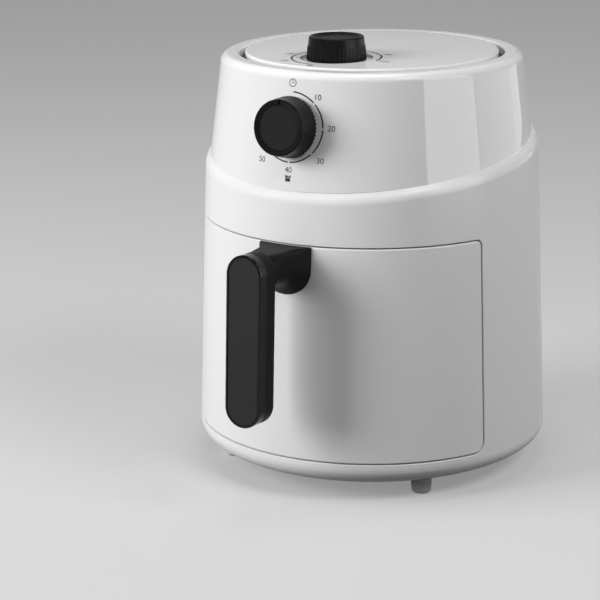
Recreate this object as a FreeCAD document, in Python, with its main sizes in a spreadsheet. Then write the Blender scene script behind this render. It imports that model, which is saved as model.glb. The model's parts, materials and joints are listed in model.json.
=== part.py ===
import FreeCAD, Part
import os
import re

import Sketcher

os.makedirs("parts", exist_ok=True)
doc = FreeCAD.newDocument("AirFryer")
sheet = doc.addObject("Spreadsheet::Sheet", "Sizes")

# Driving sizes of the fryer in millimetres and degrees.  The origin is on the floor, on the axis of the
# round body; +Z is up and the drawer faces -Y.
SIZES = (
    ("foot_height", 9.0, "floor to the underside of the base"),
    ("foot_radius", 7.5, "foot where it meets the base"),
    ("foot_round", 1.8, "rounding of the foot"),
    ("foot_overhang", 7.7, "feet beyond the flat of the base"),
    ("foot_angle", 48.8, "front feet either side of the front"),
    ("body_radius", 125.0, "widest radius of the lower shell"),
    ("lower_taper", 2.2, "lean of the lower shell wall"),
    ("upper_taper", 7.25, "lean of the upper housing wall"),
    ("tuck_radius", 11.4, "rounding at the foot of the body"),
    ("tuck_angle", 16.3, "turn of that rounding above the base seam"),
    ("dish_angle", 58.0, "turn of that rounding down to the dish of the base"),
    ("dish_radius", 47.8, "dish of the base tray"),
    ("shell_wall", 2.8, "lower shell wall"),
    ("tray_wall", 2.6, "base tray wall"),
    ("sill_height", 20.0, "underside of the base to the drawer opening"),
    ("drawer_height", 150.0, "drawer opening height"),
    ("drawer_angle", 67.6, "drawer opening either side of the front"),
    ("drawer_round_low", 8.0, "lower corners of the drawer opening"),
    ("opening_edge", 0.5, "rounding of the drawer opening"),
    ("panel_edge", 0.9, "rounding of the drawer front"),
    ("drawer_round_high", 4.5, "upper corners of the drawer opening"),
    ("drawer_gap", 0.9, "gap around the drawer front"),
    ("panel_skin", 3.0, "drawer front wall and flange"),
    ("panel_depth", 6.0, "drawer front flange depth"),
    ("backing_wall", 2.0, "sheet behind the drawer front"),
    ("band_height", 51.2, "drawer opening to the shoulder, on the axis"),
    ("shoulder_tilt", 8.0, "tilt of the shoulder towards the front"),
    ("shoulder_lean", 40.0, "lean of the shoulder slope"),
    ("shoulder_round", 10.0, "rounding of the shoulder"),
    ("flange_wall", 3.0, "seat of the upper housing"),
    ("flange_width", 10.0, "width of that seat"),
    ("shoulder_step", 4.15, "upper housing inside the lower wall, at the shoulder"),
    ("upper_wall", 2.6, "upper housing wall"),
    ("crown_height", 62.0, "shoulder to the rim, on the axis"),
    ("rim_round", 5.7, "outer rounding of the rim"),
    ("rim_width", 16.6, "top cover inside the rim"),
    ("cover_groove", 4.2, "groove around the top cover"),
    ("rim_ease", 1.5, "inner rounding of the rim"),
    ("cover_rise", 0.8, "cover edge above the rim"),
    ("cover_crown", 1.2, "rise of the domed cover"),
    ("cover_round", 1.2, "rounding of the cover edge"),
    ("cover_skin", 2.5, "cover wall"),
    ("cover_skirt", 8.5, "cover edge height"),
    ("seat_width", 7.0, "cover seat beyond the cover edge"),
    ("seat_wall", 3.0, "cover seat thickness"),
    ("dial_inset", 39.515, "temperature knob axis inside the cover edge"),
    ("dial_recess_radius", 25.0, "flat under the temperature knob"),
    ("dial_recess_drop", 2.2, "that flat below the cover crown"),
    ("dial_pad_drop", 7.5, "thermostat seat below the cover crown"),
    ("dial_pad_margin", 2.0, "thermostat seat beyond that flat"),
    ("timer_rise", 25.8, "timer axis above the shoulder, on the axis"),
    ("timer_boss_radius", 25.0, "timer seat inside the housing"),
    ("timer_boss_drop", 7.5, "timer seat below the outer surface"),
    ("knob_radius", 20.4, "knob skirt"),
    ("knob_face_radius", 18.8, "knob face"),
    ("knob_height", 15.8, "knob height"),
    ("knob_rib_height", 9.5, "ribbed part of the knob"),
    ("knob_rib_cut", 0.75, "rib groove radius"),
    ("knob_ribs", 50, "grooves around a knob"),
    ("knob_wall", 2.2, "knob skirt wall"),
    ("knob_hub", 6.0, "knob hub radius"),
    ("knob_edge", 1.3, "knob rim width"),
    ("knob_dish", 1.6, "slope inside the knob rim"),
    ("knob_lift", 0.8, "knob above its surface"),
    ("cap_radius", 14.5, "disc in the knob face"),
    ("cap_wall", 1.0, "disc thickness"),
    ("cap_gap", 0.15, "gap around the disc"),
    ("pointer_width", 1.8, "pointer notch width"),
    ("knob_shaft_radius", 3.0, "knob shafts"),
    ("knob_grip_depth", 9.0, "shaft length inside a knob"),
    ("shaft_fit", 0.08, "running fit of a shaft"),
    ("seat_fit", 0.05, "fit of a pressed shaft"),
    ("shaft_clear", 2.0, "hole around a shaft through a wall"),
    ("running_gap", 0.4, "clearance between sliding pieces"),
    ("liner_gap", 13.0, "air gap from the shell to the liner, at the drawer top"),
    ("sheet_wall", 1.0, "liner and reflector sheet"),
    ("liner_lift", 2.0, "liner floor above the drawer opening sill"),
    ("liner_reach", 34.0, "liner walls forward of the axis"),
    ("rail_height", 5.7, "drawer rails"),
    ("rail_width", 8.0, "drawer rail width"),
    ("rail_inset", 12.576, "drawer rails inside the base screws"),
    ("rail_front", 74.0, "rails forward of the axis"),
    ("rail_tail", 60.0, "rails behind the axis"),
    ("pot_gap", 3.0, "liner to the pot rim"),
    ("pot_rim", 4.0, "pot rim width"),
    ("pot_draft", 4.0, "pot narrows to its floor"),
    ("pot_headroom", 28.9, "drawer opening top to the pot rim"),
    ("pot_wall", 1.2, "pot wall"),
    ("pot_round", 8.0, "rounding of the pot floor"),
    ("crisper_lift", 12.0, "crisper plate above the pot floor"),
    ("crisper_gap", 5.0, "crisper plate to the pot wall"),
    ("crisper_wall", 1.2, "crisper plate"),
    ("crisper_skirt", 7.0, "crisper edge height"),
    ("crisper_hole", 3.2, "crisper hole radius"),
    ("crisper_eye", 11.0, "lifting hole radius"),
    ("crisper_ring_one", 28.0, "first ring of holes"),
    ("crisper_count_one", 10, "holes in the first ring"),
    ("crisper_ring_two", 46.0, "second ring of holes"),
    ("crisper_count_two", 16, "holes in the second ring"),
    ("crisper_ring_three", 64.0, "third ring of holes"),
    ("crisper_count_three", 24, "holes in the third ring"),
    ("bumper_radius", 4.5, "crisper bumpers"),
    ("reflector_gap", 2.0, "pot rim to the reflector"),
    ("reflector_height", 53.0, "reflector height"),
    ("reflector_inset", 2.0, "reflector inside the liner"),
    ("reflector_flange", 5.0, "reflector flange width"),
    ("element_drop", 32.0, "heating element below the reflector top"),
    ("element_tube", 3.3, "heating element tube radius"),
    ("element_outer", 75.0, "outer heating ring"),
    ("element_inner", 52.0, "inner heating ring"),
    ("element_open", 336.0, "arc of the heating rings"),
    ("element_pin_height", 9.0, "element ends above the reflector"),
    ("element_clear", 1.0, "hole around an element end"),
    ("clip_wall", 1.5, "element clips"),
    ("clip_overhang", 7.0, "clips beyond the heating rings"),
    ("clip_post", 7.0, "clip posts"),
    ("fan_clear", 4.0, "clip posts outside the fan"),
    ("guard_wire", 1.5, "guard wire radius"),
    ("guard_drop", 12.0, "guard below the element"),
    ("guard_inner", 30.0, "inner guard ring"),
    ("guard_margin", 13.3, "outer guard ring inside the reflector skirt"),
    ("fan_drop", 21.0, "fan below the reflector top"),
    ("fan_radius", 58.0, "convection fan"),
    ("fan_height", 14.0, "convection fan blades"),
    ("fan_hub", 9.0, "fan hub radius"),
    ("blade_wall", 1.2, "fan blades and discs"),
    ("blade_overhang", 8.0, "blades beyond the fan disc"),
    ("fan_blades", 8, "blades of the convection fan"),
    ("cool_blades", 7, "blades of the cooling fan"),
    ("shaft_radius", 4.0, "motor shaft"),
    ("nut_radius", 7.0, "fan nuts"),
    ("nut_height", 4.0, "fan nut height"),
    ("cool_lift", 6.0, "cooling fan above the reflector"),
    ("cool_radius", 48.0, "cooling fan"),
    ("cool_height", 12.0, "cooling fan blades"),
    ("bracket_rise", 23.0, "motor bracket above the reflector"),
    ("bracket_wall", 2.0, "motor bracket sheet"),
    ("bracket_width", 36.0, "motor bracket width"),
    ("bracket_reach", 72.0, "bracket legs from the axis"),
    ("bracket_foot", 12.0, "bracket feet"),
    ("motor_radius", 29.0, "motor"),
    ("motor_height", 30.0, "motor height"),
    ("bearing_radius", 10.0, "motor bearing boss"),
    ("bearing_height", 5.0, "motor bearing boss height"),
    ("timer_width", 44.0, "timer box"),
    ("timer_depth", 29.0, "timer box depth"),
    ("bell_radius", 15.0, "timer bell"),
    ("bell_depth", 7.0, "timer bell depth"),
    ("thermo_width", 32.0, "thermostat box"),
    ("thermo_depth", 17.0, "thermostat box depth"),
    ("sensor_radius", 2.5, "sensor rod"),
    ("sensor_length", 26.0, "sensor rod inside the chamber"),
    ("sensor_side", 58.0, "sensor to the right"),
    ("sensor_front", 54.0, "sensor forward"),
    ("capillary_radius", 1.0, "sensor tube"),
    ("switch_side", 45.0, "drawer switch to the right"),
    ("switch_rise", 14.0, "drawer switch above the pot rim"),
    ("switch_width", 7.0, "drawer switch"),
    ("switch_height", 16.0, "drawer switch height"),
    ("switch_depth", 7.8, "drawer switch depth"),
    ("plunger_radius", 1.5, "switch plunger"),
    ("plunger_depth", 5.0, "plunger inside the switch"),
    ("plunger_out", 3.6, "plunger in front of the switch"),
    ("vent_angle", 24.0, "rear vent either side"),
    ("vent_height", 40.0, "rear vent height"),
    ("vent_rise", 8.0, "rear vent above the reflector foot"),
    ("vent_slots", 5, "slots of the rear vent"),
    ("vent_slot", 4.6, "slot height"),
    ("vent_border", 4.0, "border of the vent"),
    ("duct_wall", 1.0, "exhaust duct sheet"),
    ("gland_rise", 36.0, "cord gland above the base"),
    ("gland_radius", 7.0, "cord gland"),
    ("gland_flange", 9.5, "gland flange"),
    ("gland_bore", 3.7, "cord hole"),
    ("gland_inside", 7.0, "gland inside the wall"),
    ("gland_lip", 2.5, "gland outside the wall"),
    ("post_radius", 6.5, "base posts"),
    ("post_inset", 14.3, "base posts inside the flat of the base"),
    ("screw_radius", 1.9, "screw shanks"),
    ("screw_head", 3.6, "screw heads"),
    ("screw_head_height", 2.4, "screw head height"),
    ("screw_gap", 0.2, "clearance around screws"),
    ("slot_width", 5.0, "intake slots"),
    ("slot_inner", 34.0, "intake slots, inner end"),
    ("slot_inset", 7.5, "intake slots inside the base posts"),
    ("slot_count", 16, "intake slots"),
    ("terminal_width", 36.0, "terminal block"),
    ("terminal_depth", 14.0, "terminal block depth"),
    ("terminal_height", 13.0, "terminal block height"),
    ("terminal_inset", 12.3, "terminal block inside the flat of the base"),
    ("fuse_radius", 4.0, "thermal fuse"),
    ("fuse_length", 20.0, "thermal fuse length"),
    ("fuse_side", 62.0, "thermal fuse to the left"),
    ("finger_room", 30.9, "drawer front to the grip, at mid height"),
    ("grip_tilt", 3.0, "lean of the grip"),
    ("grip_width", 27.2, "grip width"),
    ("grip_length", 116.6, "grip length"),
    ("grip_rise", 2.7, "head of the grip above the arm"),
    ("grip_body_depth", 13.0, "grip body depth"),
    ("bezel_depth", 7.5, "gloss frame depth"),
    ("bezel_edge", 1.9, "gloss frame edge"),
    ("bezel_round", 1.5, "gloss frame rounding"),
    ("plate_wall", 2.0, "front plate thickness"),
    ("plate_sink", 0.5, "front plate below the frame"),
    ("plate_gap", 0.15, "gap around the front plate"),
    ("grip_round", 4.0, "grip rear rounding"),
    ("arm_height", 34.7, "handle arm height at the drawer"),
    ("arm_round", 1.0, "upper corners of the arm at the drawer"),
    ("arm_flare", 6.3, "arm wider at the drawer, each side"),
    ("arm_flare_length", 18.0, "length of that flare"),
    ("arm_neck", 26.0, "handle arm behind the grip"),
    ("arm_neck_round", 4.0, "upper corners of the arm behind the grip"),
    ("arm_head_round", 11.0, "upper corners of the arm at the grip"),
    ("arm_neck_height", 24.1, "handle arm height at the grip"),
    ("arm_blend", 6.0, "rounding between the arm and the grip"),
    ("bracket_half", 25.0, "pot bracket half width"),
    ("pot_bracket_wall", 2.0, "pot bracket sheet"),
    ("pot_bracket_link", 18.0, "pot bracket height at the pot"),
    ("handle_screw_spread", 7.0, "handle screws either side"),
    ("handle_screw_drop", 17.0, "handle screws below the drawer top"),
    ("handle_screw_grip", 16.0, "handle screws inside the arm"),
)

# Levels and radii that follow from the driving sizes.
FORMULAS = {
    "lower_slope": "tan(lower_taper)",
    "upper_slope": "tan(upper_taper)",
    "dish_reach": "dish_radius * cos(dish_angle)",
    "tuck_inset": "body_radius - tuck_radius",
    "base_flat": "tuck_inset + tuck_radius * cos(dish_angle) - dish_reach",
    "dish_edge_z": "foot_height + dish_radius * (1 - sin(dish_angle))",
    "wall_foot_z": "dish_edge_z + tuck_radius * sin(dish_angle)",
    "seam_radius": "tuck_inset + tuck_radius * cos(tuck_angle)",
    "seam_z": "wall_foot_z - tuck_radius * sin(tuck_angle)",
    "tray_round": "tuck_radius - tray_wall",
    "tray_dish": "dish_radius - tray_wall",
    "tray_lip": "tuck_inset + sqrt(pow(tray_round; 2) - pow(wall_foot_z - seam_z; 2))",
    "drawer_foot_z": "foot_height + sill_height",
    "drawer_head_z": "drawer_foot_z + drawer_height",
    "shoulder_z": "drawer_head_z + band_height",
    "rim_z": "shoulder_z + crown_height",
    "shell_top_z": "rim_z",
    "cone_foot": "body_radius + lower_slope * wall_foot_z",
    "upper_radius": "cone_foot - lower_slope * shoulder_z - shoulder_step",
    "rim_radius": "upper_radius - upper_slope * crown_height",
    "cover_radius": "rim_radius - rim_width",
    "cover_flat": "cover_radius - cover_round",
    "dial_reach": "cover_radius - dial_inset",
    "ledge_front": "upper_radius / (cos(shoulder_tilt) - upper_slope * sin(shoulder_tilt))",
    "ledge_back": "upper_radius / (cos(shoulder_tilt) + upper_slope * sin(shoulder_tilt))",
    "ledge_shift": "(ledge_front - ledge_back) / 2",
    "ledge_radius": "(ledge_front + ledge_back) / 4 + upper_radius / 2",
    "upper_drop": "ledge_front * sin(shoulder_tilt) + flange_wall",
    "reach": "2 * body_radius",
    "sector_root": "body_radius / 4",
    "cap_height": "shoulder_z + reach * sin(shoulder_tilt)",
    "cover_edge_z": "rim_z + cover_rise",
    "cover_seat_z": "cover_edge_z - cover_skirt",
    "cover_top_z": "cover_edge_z + cover_crown",
    "recess_z": "cover_top_z - dial_recess_drop",
    "thermo_z": "cover_top_z - dial_pad_drop",
    "dial_pad_radius": "dial_recess_radius + dial_pad_margin",
    "timer_z": "shoulder_z + timer_rise",
    "timer_reach": "upper_radius - upper_slope * timer_rise",
    "timer_turn": "90 - upper_taper",
    "liner_radius": "cone_foot - lower_slope * drawer_head_z - shell_wall - liner_gap",
    "liner_z": "drawer_foot_z + liner_lift",
    "rail_z": "liner_z + sheet_wall",
    "pot_z": "rail_z + rail_height + running_gap",
    "pot_rim_z": "drawer_head_z - pot_headroom",
    "pot_height": "pot_rim_z - pot_z",
    "pot_rim_radius": "liner_radius - sheet_wall - pot_gap",
    "pot_mouth": "pot_rim_radius - pot_rim",
    "pot_foot": "pot_mouth - pot_draft",
    "pot_floor_z": "pot_z + pot_wall",
    "crisper_z": "pot_floor_z + crisper_lift",
    "crisper_radius": "pot_foot - pot_wall - crisper_gap",
    "reflector_z": "pot_rim_z + reflector_gap",
    "reflector_top": "reflector_z + reflector_height",
    "reflector_radius": "liner_radius - sheet_wall - reflector_inset",
    "element_z": "reflector_top - element_drop",
    "guard_z": "element_z - guard_drop",
    "fan_z": "reflector_top - fan_drop",
    "cool_z": "reflector_top + cool_lift",
    "motor_z": "reflector_top + bracket_rise + bracket_wall",
    "motor_top": "motor_z + motor_height + bearing_height",
    "vent_z": "reflector_z + vent_rise",
    "vent_half": "(cone_foot - lower_slope * vent_z) * sin(vent_angle) - 2 * vent_border",
    "vent_pitch": "(vent_height - 2 * vent_border - vent_slot) / (vent_slots - 1)",
    "gland_z": "foot_height + gland_rise",
    "gland_reach": "cone_foot - lower_slope * gland_z",
    "tray_floor_z": "foot_height + tray_wall",
    "foot_circle": "base_flat + foot_overhang",
    "post_circle": "base_flat - post_inset",
    "slot_outer": "post_circle - post_radius - slot_inset",
    "rail_spread": "post_circle * cos(45) - rail_inset",
    "terminal_back": "base_flat - terminal_inset",
    "element_turn": "90 + (360 - element_open) / 2",
    "element_leg": "fan_radius + fan_clear + element_tube",
    "guard_half": "reflector_radius - sheet_wall",
    "guard_outer": "guard_half - guard_margin",
    "motor_screw_side": "(motor_radius + bearing_radius) / 2",
    "cap_rise": "knob_height - knob_dish - cap_wall",
    "capillary_z": "thermo_z - thermo_depth / 2",
    "bumper_circle": "(crisper_radius - crisper_wall - bumper_radius) * cos(45)",
    "switch_z": "pot_rim_z + switch_rise",
    "switch_front": "panel_inner_y - running_gap - plunger_out",
    "switch_back": "switch_front - switch_depth",
    "panel_inner": "cone_foot - lower_slope * switch_z - panel_depth",
    "panel_inner_y": "sqrt(pow(panel_inner; 2) - pow(switch_side + plunger_radius; 2))",
    "grip_half": "grip_width / 2",
    "grip_straight": "grip_length / 2 - grip_half",
    "grip_head_z": "arm_top_z + grip_rise",
    "grip_mid_z": "grip_head_z - grip_length / 2",
    "grip_back": "cone_foot - lower_slope * grip_mid_z + finger_room",
    "arm_top_z": "drawer_head_z - drawer_gap",
    "neck_half": "arm_neck / 2",
    "neck_low_z": "arm_top_z - arm_neck_height",
    "arm_drop": "arm_height - arm_neck_height",
    "handle_screw_z": "drawer_head_z - handle_screw_drop",
    "screw_wall": "cone_foot - lower_slope * handle_screw_z",
    "arm_root": "screw_wall - panel_depth",
    "bracket_inner": "screw_wall - panel_depth - pot_bracket_wall",
    "pot_bracket_z": "pot_rim_z - pot_bracket_link - pot_wall",
}

for row, (alias, number, note) in enumerate(SIZES, start=1):
    sheet.set(f"A{row}", note)
    sheet.set(f"B{row}", str(number))
    sheet.setAlias(f"B{row}", alias)
doc.recompute()
ALIASES = {alias for alias, number, note in SIZES}
NODES = []
FULL_TURN = 360


def formula(text):
    """The sheet expression behind a formula written with the names of the sizes."""
    def named(match):
        word = match.group(0)
        if word in FORMULAS:
            return "(" + formula(FORMULAS[word]) + ")"
        return "Sizes." + word if word in ALIASES else word
    return re.sub(r"[a-z_]+", named, text)


def value(text):
    """The number that a formula gives now."""
    return float(sheet.evalExpression(formula(text)))


def seat(item, place=("0", "0", "0"), axis=None, angle="0"):
    """Put an object at a place, turned about an axis, both bound to the sheet."""
    if axis:
        turn = FreeCAD.Rotation(FreeCAD.Vector(*axis), value(angle))
        item.Placement = FreeCAD.Placement(FreeCAD.Vector(), turn)
        item.setExpression("Placement.Rotation.Angle", formula(angle))
    for letter, text in zip("xyz", place):
        item.setExpression("Placement.Base." + letter, formula(text))
    return item


def solid(kind, name, place=("0", "0", "0"), axis=None, angle="0", **sizes):
    """A primitive with its sizes bound to the sheet."""
    item = doc.addObject("Part::" + kind, name)
    for key, text in sizes.items():
        item.setExpression(key, formula(text))
    return seat(item, place, axis, angle)


def fuse(name, *items):
    result = doc.addObject("Part::MultiFuse", name)
    result.Shapes = list(items)
    return result


def cut(name, base, *tools):
    result = doc.addObject("Part::Cut", name)
    result.Base = base
    result.Tool = tools[0] if len(tools) == 1 else fuse(name + "Tools", *tools)
    return result


def common(name, *items):
    result = doc.addObject("Part::MultiCommon", name)
    result.Shapes = list(items)
    return result


def group(name, *items):
    result = doc.addObject("Part::Compound", name)
    result.Links = list(items)
    return result


def arc_between(start, end, radius):
    """Arc from start to end; a positive radius turns left, a negative one right."""
    chord = end - start
    middle = (start + end) * 0.5
    rise = (radius * radius - chord.Length ** 2 / 4) ** 0.5 if abs(radius) * 2 > chord.Length else 0.0
    left = FreeCAD.Vector(-chord.y, chord.x, 0).normalize()
    centre = middle + left * (rise if radius > 0 else -rise)
    first, last = (start, end) if radius > 0 else (end, start)
    circle = Part.Circle(centre, FreeCAD.Vector(0, 0, 1), abs(radius))
    return Part.ArcOfCircle(circle, circle.parameter(first), circle.parameter(last))


def draw(drawing, outline):
    """Add a closed outline of (u, v) corners.

    A third entry makes the edge that follows an arc of that radius, or a half circle that turns
    left or right.
    """
    corners = [FreeCAD.Vector(value(spot[0]), value(spot[1]), 0) for spot in outline]
    first = drawing.GeometryCount
    ties = []
    bound = []
    ends = []
    for index, spot in enumerate(outline):
        following = outline[(index + 1) % len(outline)]
        start, end = corners[index], corners[(index + 1) % len(corners)]
        bend = spot[2] if len(spot) == 3 else "0"
        half_turn = {"left": 0.5, "right": -0.5}.get(bend)
        radius = (end - start).Length * half_turn if half_turn else value(bend)
        drawing.addGeometry(arc_between(start, end, radius) if radius else Part.LineSegment(start, end))
        ends.append((2, 1) if radius < 0 else (1, 2))
        if half_turn:
            level = abs(end.x - start.x) > abs(end.y - start.y)
            kind, side = ("DistanceY", 1) if level else ("DistanceX", 0)
            middle = f"(({spot[side]}) + ({following[side]})) / 2"
            bound.append((Sketcher.Constraint(kind, -1, 1, first + index, 3, value(middle)), middle))
        elif radius:
            bound.append((Sketcher.Constraint("Radius", first + index, abs(radius)), f"abs({bend})"))
    for index, spot in enumerate(outline):
        edge = first + index
        before = first + (index - 1) % len(outline)
        ties.append(Sketcher.Constraint("Coincident", before, ends[index - 1][1], edge, ends[index][0]))
        for kind, text in (("DistanceX", spot[0]), ("DistanceY", spot[1])):
            bound.append((Sketcher.Constraint(kind, -1, 1, edge, ends[index][0], value(text)), text))
    drawing.addConstraint(ties)
    bind(drawing, bound)


def draw_circle(drawing, across, along, radius):
    place = FreeCAD.Vector(value(across), value(along), 0)
    edge = drawing.addGeometry(Part.Circle(place, FreeCAD.Vector(0, 0, 1), value(radius)))
    bind(drawing, [
        (Sketcher.Constraint("Radius", edge, value(radius)), radius),
        (Sketcher.Constraint("DistanceX", -1, 1, edge, 3, value(across)), across),
        (Sketcher.Constraint("DistanceY", -1, 1, edge, 3, value(along)), along),
    ])


def bind(drawing, pairs):
    """Add dimensions to a sketch and tie each one to the sheet."""
    for constraint, text in pairs:
        index = drawing.addConstraint(constraint)
        drawing.setExpression(f"Constraints[{index}]", formula(text))


def body(name):
    return doc.addObject("PartDesign::Body", name)


def sketch(item, role, outlines=(), circles=(), lift="0"):
    """A sketch on one of the body's own planes, with closed outlines and circles."""
    drawing = item.newObject("Sketcher::SketchObject", item.Name + "Sketch")
    plane = [feature for feature in item.Origin.OriginFeatures if feature.Role == role]
    drawing.AttachmentSupport = [(plane[0], "")]
    drawing.MapMode = "FlatFace"
    drawing.setExpression("AttachmentOffset.Base.z", formula(lift))
    for outline in outlines:
        draw(drawing, outline)
    for circle in circles:
        draw_circle(drawing, *circle)
    return drawing


def pad(item, drawing, length):
    feature = item.newObject("PartDesign::Pad", item.Name + "Pad")
    feature.Profile = drawing
    feature.setExpression("Length", formula(length))
    return feature


def pocket(item, drawing, length):
    """Cut upwards from the sketch."""
    feature = item.newObject("PartDesign::Pocket", item.Name + "Pocket")
    feature.Profile = drawing
    feature.setExpression("Length", formula(length))
    feature.Reversed = True
    return feature


def around(item, feature, drawing, count):
    """Repeat a feature around the axis of its sketch."""
    pattern = item.newObject("PartDesign::PolarPattern", item.Name + "Pattern")
    pattern.Originals = [feature]
    pattern.Axis = (drawing, ["N_Axis"])
    pattern.Angle = FULL_TURN
    pattern.setExpression("Occurrences", formula(count))
    item.Tip = pattern
    return pattern


def turned(name, *outlines):
    """A body turned about the Z axis from outlines of (radius, height)."""
    item = body(name)
    feature = item.newObject("PartDesign::Revolution", name + "Turn")
    drawing = sketch(item, "XZ_Plane", outlines)
    feature.Profile = drawing
    feature.ReferenceAxis = (drawing, ["V_Axis"])
    feature.Angle = FULL_TURN
    return item


def soften(item, radius, picks):
    """Round the edges of a body that the test picks."""
    doc.recompute()
    base = item.Tip
    names = [f"Edge{index}" for index, edge in enumerate(base.Shape.Edges, start=1) if picks(edge)]
    feature = item.newObject("PartDesign::Fillet", item.Name + "Fillet")
    feature.Base = (base, names)
    feature.setExpression("Radius", formula(radius))
    return item


def ring_at(radius, height):
    """Test for a full circle of a radius at a height about the Z axis."""
    def picks(edge):
        if edge.Curve.TypeId != "Part::GeomCircle":
            return False
        off = abs(edge.Curve.Radius - value(radius)) + abs(edge.Curve.Center.z - value(height))
        return off < 0.01
    return picks


def node(name, item):
    item.Label = name
    NODES.append((name, item))
    return item


def sector(name, angle, inset, low, high, round_low=None, round_high=None, rear=False):
    """A wedge from the axis to beyond the wall, with its sides moved in and its corners rounded."""
    item = body(name)
    tip = f"-({inset}) / sin({angle})"
    near = (f"sector_root * sin({angle})", f"{tip} - sector_root * cos({angle})")
    far = (f"reach * sin({angle})", f"{tip} - reach * cos({angle})")
    outline = [
        (f"-{near[0]}", near[1]),
        (f"-{far[0]}", far[1]),
        (f"-{far[0]}", f"{tip} - reach"),
        (far[0], f"{tip} - reach"),
        far,
        near,
    ]
    pad(item, sketch(item, "XY_Plane", [outline], lift=low), f"({high}) - ({low})")
    for radius, level in ((round_low, low), (round_high, high)):
        if radius:
            def picks(edge):
                along = abs(edge.Length - value("reach - sector_root")) < 0.001
                return along and abs(edge.CenterOfMass.z - value(level)) < 0.001
            soften(item, radius, picks)
    return seat(item, ("0", "0", "0"), (0, 0, 1), "180") if rear else item


def core(name, depth):
    """The tapered space inside the lower shell wall, a depth below its outer surface."""
    return solid("Cone", name, Radius1=f"cone_foot - ({depth})", Height="rim_z",
                 Radius2=f"cone_foot - ({depth}) - lower_slope * rim_z")


def rod(name, radius, place, length, axis=None, angle="0"):
    return solid("Cylinder", name, place, axis, angle, Radius=radius, Height=length)


def box(name, low, size, axis=None, angle="0"):
    return solid("Box", name, low, axis, angle, Length=size[0], Width=size[1], Height=size[2])


def on_timer(rise):
    """Place on the timer axis, a rise above the surface of the upper housing."""
    return ("0", f"-timer_reach - ({rise}) * cos(upper_taper)", f"timer_z + ({rise}) * sin(upper_taper)")


def on_tilt(rise):
    """Place on the axis of the tilted shoulder, a rise above its plane."""
    return ("0", f"-({rise}) * sin(shoulder_tilt) - ledge_shift * cos(shoulder_tilt)",
            f"shoulder_z + ({rise}) * cos(shoulder_tilt) - ledge_shift * sin(shoulder_tilt)")


ACROSS = (1, 0, 0)
SIDES = ("", "-")

# Lower shell: a tapered drum with a rounded foot, capped by a sloping shoulder that tilts to the front.
# It has the drawer opening, the rear vent opening, the cord hole and a seat for the upper housing.
shell_block = turned("ShellBlock", [
    ("0", "seam_z"),
    ("seam_radius", "seam_z", "tuck_radius"),
    ("body_radius", "wall_foot_z"),
    ("cone_foot - lower_slope * shell_top_z", "shell_top_z"),
    ("0", "shell_top_z"),
])
shoulder_cap = solid("Cone", "ShoulderCap", on_tilt("-cap_height"), ACROSS, "shoulder_tilt",
                     Radius1="ledge_radius + cap_height * tan(shoulder_lean)", Radius2="ledge_radius",
                     Height="cap_height")
shell_solid = common("ShellSolid", shell_block, shoulder_cap)
doc.recompute()
shell_rounded = doc.addObject("Part::Fillet", "ShellRounded")
shell_rounded.Base = shell_solid


def shoulder_edge(edge):
    """The edge where the wall meets the shoulder slope, clear of the seat plane."""
    tilt = FreeCAD.Rotation(FreeCAD.Vector(1, 0, 0), value("shoulder_tilt"))
    normal = tilt.multVec(FreeCAD.Vector(0, 0, 1))
    foot = FreeCAD.Vector(0, 0, value("shoulder_z"))
    heights = [(spot - foot).dot(normal) for spot in edge.discretize(9)]
    level = max(heights) - min(heights) < value("upper_radius * lower_slope") * 2
    return level and max(heights) < -0.2 and edge.BoundBox.ZMin > value("drawer_head_z")


shell_rounded.Edges = [
    (index, value("shoulder_round"), value("shoulder_round"))
    for index, edge in enumerate(shell_solid.Shape.Edges, start=1) if shoulder_edge(edge)
]
shell_cavity = common(
    "ShellCavity",
    turned("ShellInside", [
        ("0", "seam_z - tray_wall"),
        ("seam_radius - shell_wall", "seam_z - tray_wall"),
        ("seam_radius - shell_wall", "seam_z"),
        ("body_radius - shell_wall", "wall_foot_z"),
        ("cone_foot - lower_slope * shell_top_z - shell_wall", "shell_top_z"),
        ("0", "shell_top_z"),
    ]),
    solid("Cone", "FlangeUnder", on_tilt("-(cap_height + flange_wall)"), ACROSS, "shoulder_tilt",
          Radius1="ledge_radius + cap_height * tan(shoulder_lean)", Radius2="ledge_radius",
          Height="cap_height"),
)
flange_bore = rod("FlangeBore", "ledge_radius - flange_width", on_tilt("-2 * flange_wall"),
                  "4 * flange_wall", ACROSS, "shoulder_tilt")
drawer_opening = sector("DrawerOpening", "drawer_angle", "0", "drawer_foot_z", "drawer_head_z",
                        "drawer_round_low", "drawer_round_high")
vent_opening = sector("VentOpening", "vent_angle", "0", "vent_z", "vent_z + vent_height", rear=True)
gland_hole = rod("GlandHole", "gland_radius", ("0", "gland_reach - shell_wall - gland_inside", "gland_z"),
                 "2 * (shell_wall + gland_inside)", ACROSS, "-90")
shell_cut = cut("ShellCut", shell_rounded, shell_cavity, flange_bore, drawer_opening, vent_opening,
                gland_hole)


def on_wall(edge):
    """Test for an edge of the drawer opening or the drawer front on the outer surface."""
    spots = edge.discretize(7)
    wall = [value("cone_foot") - value("lower_slope") * spot.z for spot in spots]
    off = max(abs(FreeCAD.Vector(spot.x, spot.y, 0).Length - radius) for spot, radius in zip(spots, wall))
    low = min(spot.z for spot in spots)
    high = max(spot.z for spot in spots)
    inside = low > value("wall_foot_z") + 0.1 and high < value("drawer_head_z") + 0.1
    return off < 0.02 and inside and max(spot.y for spot in spots) < 0


def eased(name, item, radius):
    """Round the edges around the drawer where they meet the outer surface."""
    doc.recompute()
    made = doc.addObject("Part::Fillet", name)
    made.Base = item
    made.Edges = [(index, value(radius), value(radius))
                  for index, edge in enumerate(item.Shape.Edges, start=1) if on_wall(edge)]
    return made


node("lower_shell", eased("LowerShell", shell_cut, "opening_edge"))

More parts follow.
